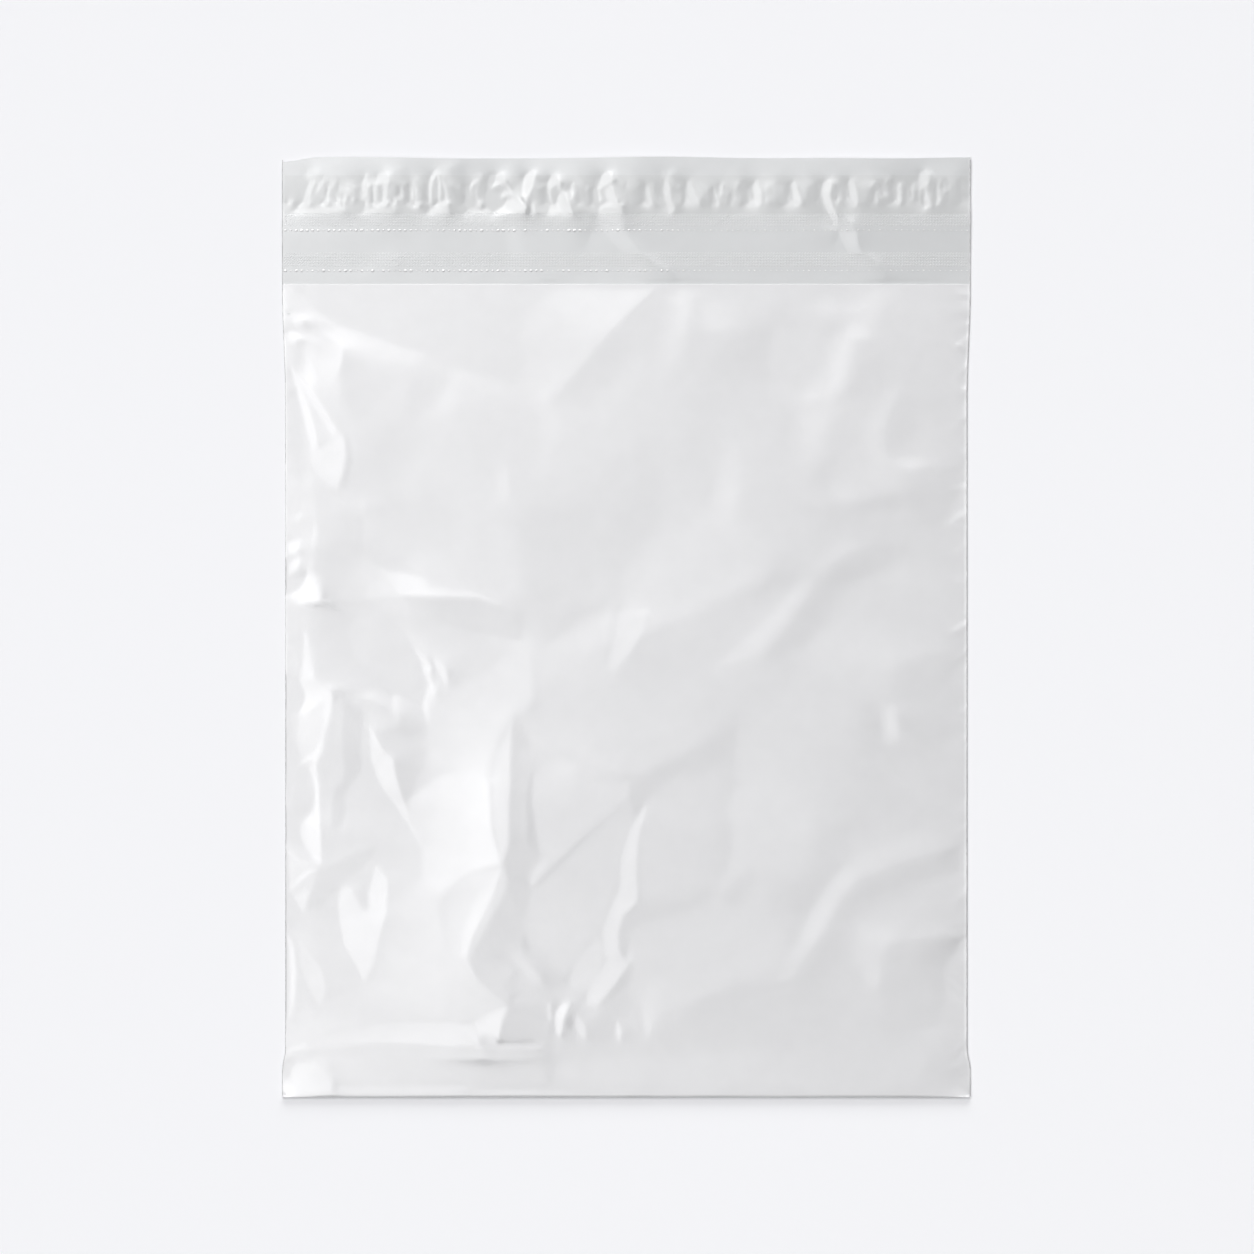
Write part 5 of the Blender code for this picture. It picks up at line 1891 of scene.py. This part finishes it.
@dataclass
class Studio:
    """The floor, the light and the camera, which looks straight down."""

    sizes: BagSizes
    lens_mm: float = 85.0
    sensor_mm: float = 36.0
    floor_tone: tuple[float, float, float] = (0.913, 0.915, 0.939)
    floor_share: float = 0.9
    floor_size: float = 12.0
    floor_level: float = -0.0003
    light_middle: float = 0.974
    light_across: float = -0.17
    light_along: float = 0.16
    light_limits: tuple[float, float] = (0.7, 1.3)
    world_strength: float = 0.02
    low_box: SoftBox = SoftBox("low_back_box", 90.0, 66.0, 6.4, 3.0, 6.4, 4.8)

    def build(self) -> None:
        """Make the floor, the world, the lamps and the camera."""
        self._floor()
        self._world()
        for lamp in (SIDE_BANK, TOP_BANK, BOTTOM_BANK, self.low_box):
            lamp.build()
        self._camera()
        bpy.context.scene.view_settings.view_transform = "Standard"

    def _camera(self) -> None:
        """A camera over the bag's middle whose view has the photograph's share of floor."""
        data = bpy.data.cameras.new("camera")
        data.lens = self.lens_mm
        data.sensor_width = self.sensor_mm
        made = placed("camera", data)
        view_width = self.sizes.width * PHOTO_SIDE_PX / BAG_WIDTH_PX
        aside = (PHOTO_SIDE_PX / 2 - BAG_MIDDLE_PX) * self.sizes.width / BAG_WIDTH_PX
        made.location = (aside, 0.0, view_width * self.lens_mm / self.sensor_mm)
        bpy.context.scene.camera = made

    def _floor(self) -> None:
        """A wide pale floor that shows its own tone and the bag's shadow."""
        bpy.ops.mesh.primitive_plane_add(size=self.floor_size, location=(0.0, 0.0, self.floor_level))
        floor = bpy.context.object
        floor.name = "floor"
        made = bpy.data.materials.new("floor")
        made.use_nodes = True
        made.node_tree.nodes.clear()
        net = Network(made.node_tree)
        tone = (*self.floor_tone, 1.0)
        plain = net.node("ShaderNodeBsdfDiffuse", {"Color": tone})
        part = net.node("ShaderNodeBsdfDiffuse", {"Color": self._evened(net)})
        glow = net.node("ShaderNodeEmission", {"Color": tone, "Strength": 1 - self.floor_share})
        seen = net.node("ShaderNodeAddShader", {0: part.outputs[0], 1: glow.outputs[0]})
        self._close(net, plain, seen, "ShaderNodeOutputMaterial")
        floor.data.materials.append(made)

    def _evened(self, net: Network) -> bpy.types.NodeSocket:
        """The floor's lit share of its tone, darker where the lamps are near, so that it looks even.

        Args:
            net: The floor's nodes.

        Returns:
            The colour's socket.
        """
        place = net.node("ShaderNodeSeparateXYZ", {0: net.node("ShaderNodeTexCoord").outputs["Object"]})
        across = net.math("MULTIPLY_ADD", place.outputs["X"], self.light_across, self.light_middle)
        level = net.math("MULTIPLY_ADD", place.outputs["Y"], self.light_along, across)
        low, high = self.light_limits
        held = net.node("ShaderNodeClamp", {"Value": level, "Min": low, "Max": high})
        share = net.math("DIVIDE", self.floor_share, held.outputs[0])
        scaled = {0: self.floor_tone, "Scale": share}
        return net.node("ShaderNodeVectorMath", scaled, operation="SCALE").outputs[0]

    def _world(self) -> None:
        """An even pale surround."""
        world = bpy.data.worlds.new("studio")
        world.use_nodes = True
        world.node_tree.nodes.clear()
        net = Network(world.node_tree)
        white = {"Color": (1.0, 1.0, 1.0, 1.0), "Strength": self.world_strength}
        light = net.node("ShaderNodeBackground", white)
        seen = net.node("ShaderNodeBackground", {"Color": (*self.floor_tone, 1.0)})
        self._close(net, light, seen, "ShaderNodeOutputWorld")
        bpy.context.scene.world = world

    @staticmethod
    def _close(net: Network, plain: bpy.types.Node, seen: bpy.types.Node, end: str) -> None:
        """End a shader in one that the lamps and the bag meet and one that the camera sees.

        Args:
            net: The nodes.
            plain: The shader for light.
            seen: The shader for the camera.
            end: The output node's type.
        """
        camera = net.node("ShaderNodeLightPath").outputs["Is Camera Ray"]
        mix = net.node("ShaderNodeMixShader", {"Fac": camera, 1: plain.outputs[0], 2: seen.outputs[0]})
        net.node(end, {"Surface": mix.outputs[0]})


def settle(made: bpy.types.Object, slot: str, *nodes: str) -> bpy.types.Object:
    """Fix a piece to the bag.

    Args:
        made: The piece.
        slot: The record's material slot; not used.
        nodes: CAD nodes that the piece stands for.

    Returns:
        The piece.
    """
    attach(made, BODY)
    if nodes:
        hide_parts(*nodes)
    log.info("%s: %d faces", made.name, len(made.data.polygons))
    return made


def shape_panel(sizes: BagSizes) -> Relief:
    """Shape the front panel's folds, puckers and ripples.

    Args:
        sizes: The bag's sizes.

    Returns:
        The panel's relief.
    """
    relief = Relief(sizes.width, sizes.pocket, sizes.bottom, PANEL_BASE_ROW, PANEL_STEP, PANEL_SEED)
    fold = (sizes.roll_height - sizes.contact_gap) / MM
    relief.add_facets(PANEL_FACETS, Levels(1.4, 60.0, 0.00008, fold, -0.3))
    relief.add_ripples(24 * MM, 0.15 * MM)
    relief.add_edge_puckers(Side.LEFT, 3.6 * MM, 1.8 * MM, 0.08 * MM)
    relief.add_edge_puckers(Side.RIGHT, 3.2 * MM, 2.2 * MM, 0.24 * MM)
    return relief


def shape_lip(sizes: BagSizes) -> Relief:
    """Shape the gathers and soft patches of the lip.

    Args:
        sizes: The bag's sizes.

    Returns:
        The lip's relief.
    """
    relief = Relief(sizes.width, sizes.lip, sizes.mouth, LIP_BASE_ROW, LIP_STEP, LIP_SEED)
    relief.add_facets(LIP_FACETS, Levels(0.5, 26.0, 0.004, welded=False))
    return relief


def main() -> None:
    """Build the bag and its studio, piece by piece."""
    logging.basicConfig(level=logging.INFO, format="%(name)s: %(message)s")
    finish = {name: item.material() for name, item in FINISHES.items()}
    sizes = BagSizes.from_frame()
    lip = Lip(sizes, shape_lip(sizes))
    web = Pocket(sizes, shape_panel(sizes))

    pocket = settle(web.build(finish["outside"], finish["inside"]), "bag_film", "bag_film")
    lip_film = settle(lip.build(finish["outside"], finish["inside"]), "bag_film", "bag_film")

    for number in range(len(lip.bands)):
        for piece in EmbossedBand(lip, number).build(finish["emboss"], finish["dots"]):
            settle(piece, "bag_film", "bag_film")

    strip = ClosingStrip(lip)
    settle(strip.build_adhesive(finish["adhesive"]), "adhesive", "adhesive_strip")
    liner = settle(strip.build_liner(finish["liner"]), "liner", "release_liner")

    for side in Side:
        settle(SideWeld(sizes, lip, side).build(finish["weld"]), "bag_film", "bag_film")

    Studio(sizes).build()
    bpy.context.view_layer.update()


if __name__ == "__main__":
    main()
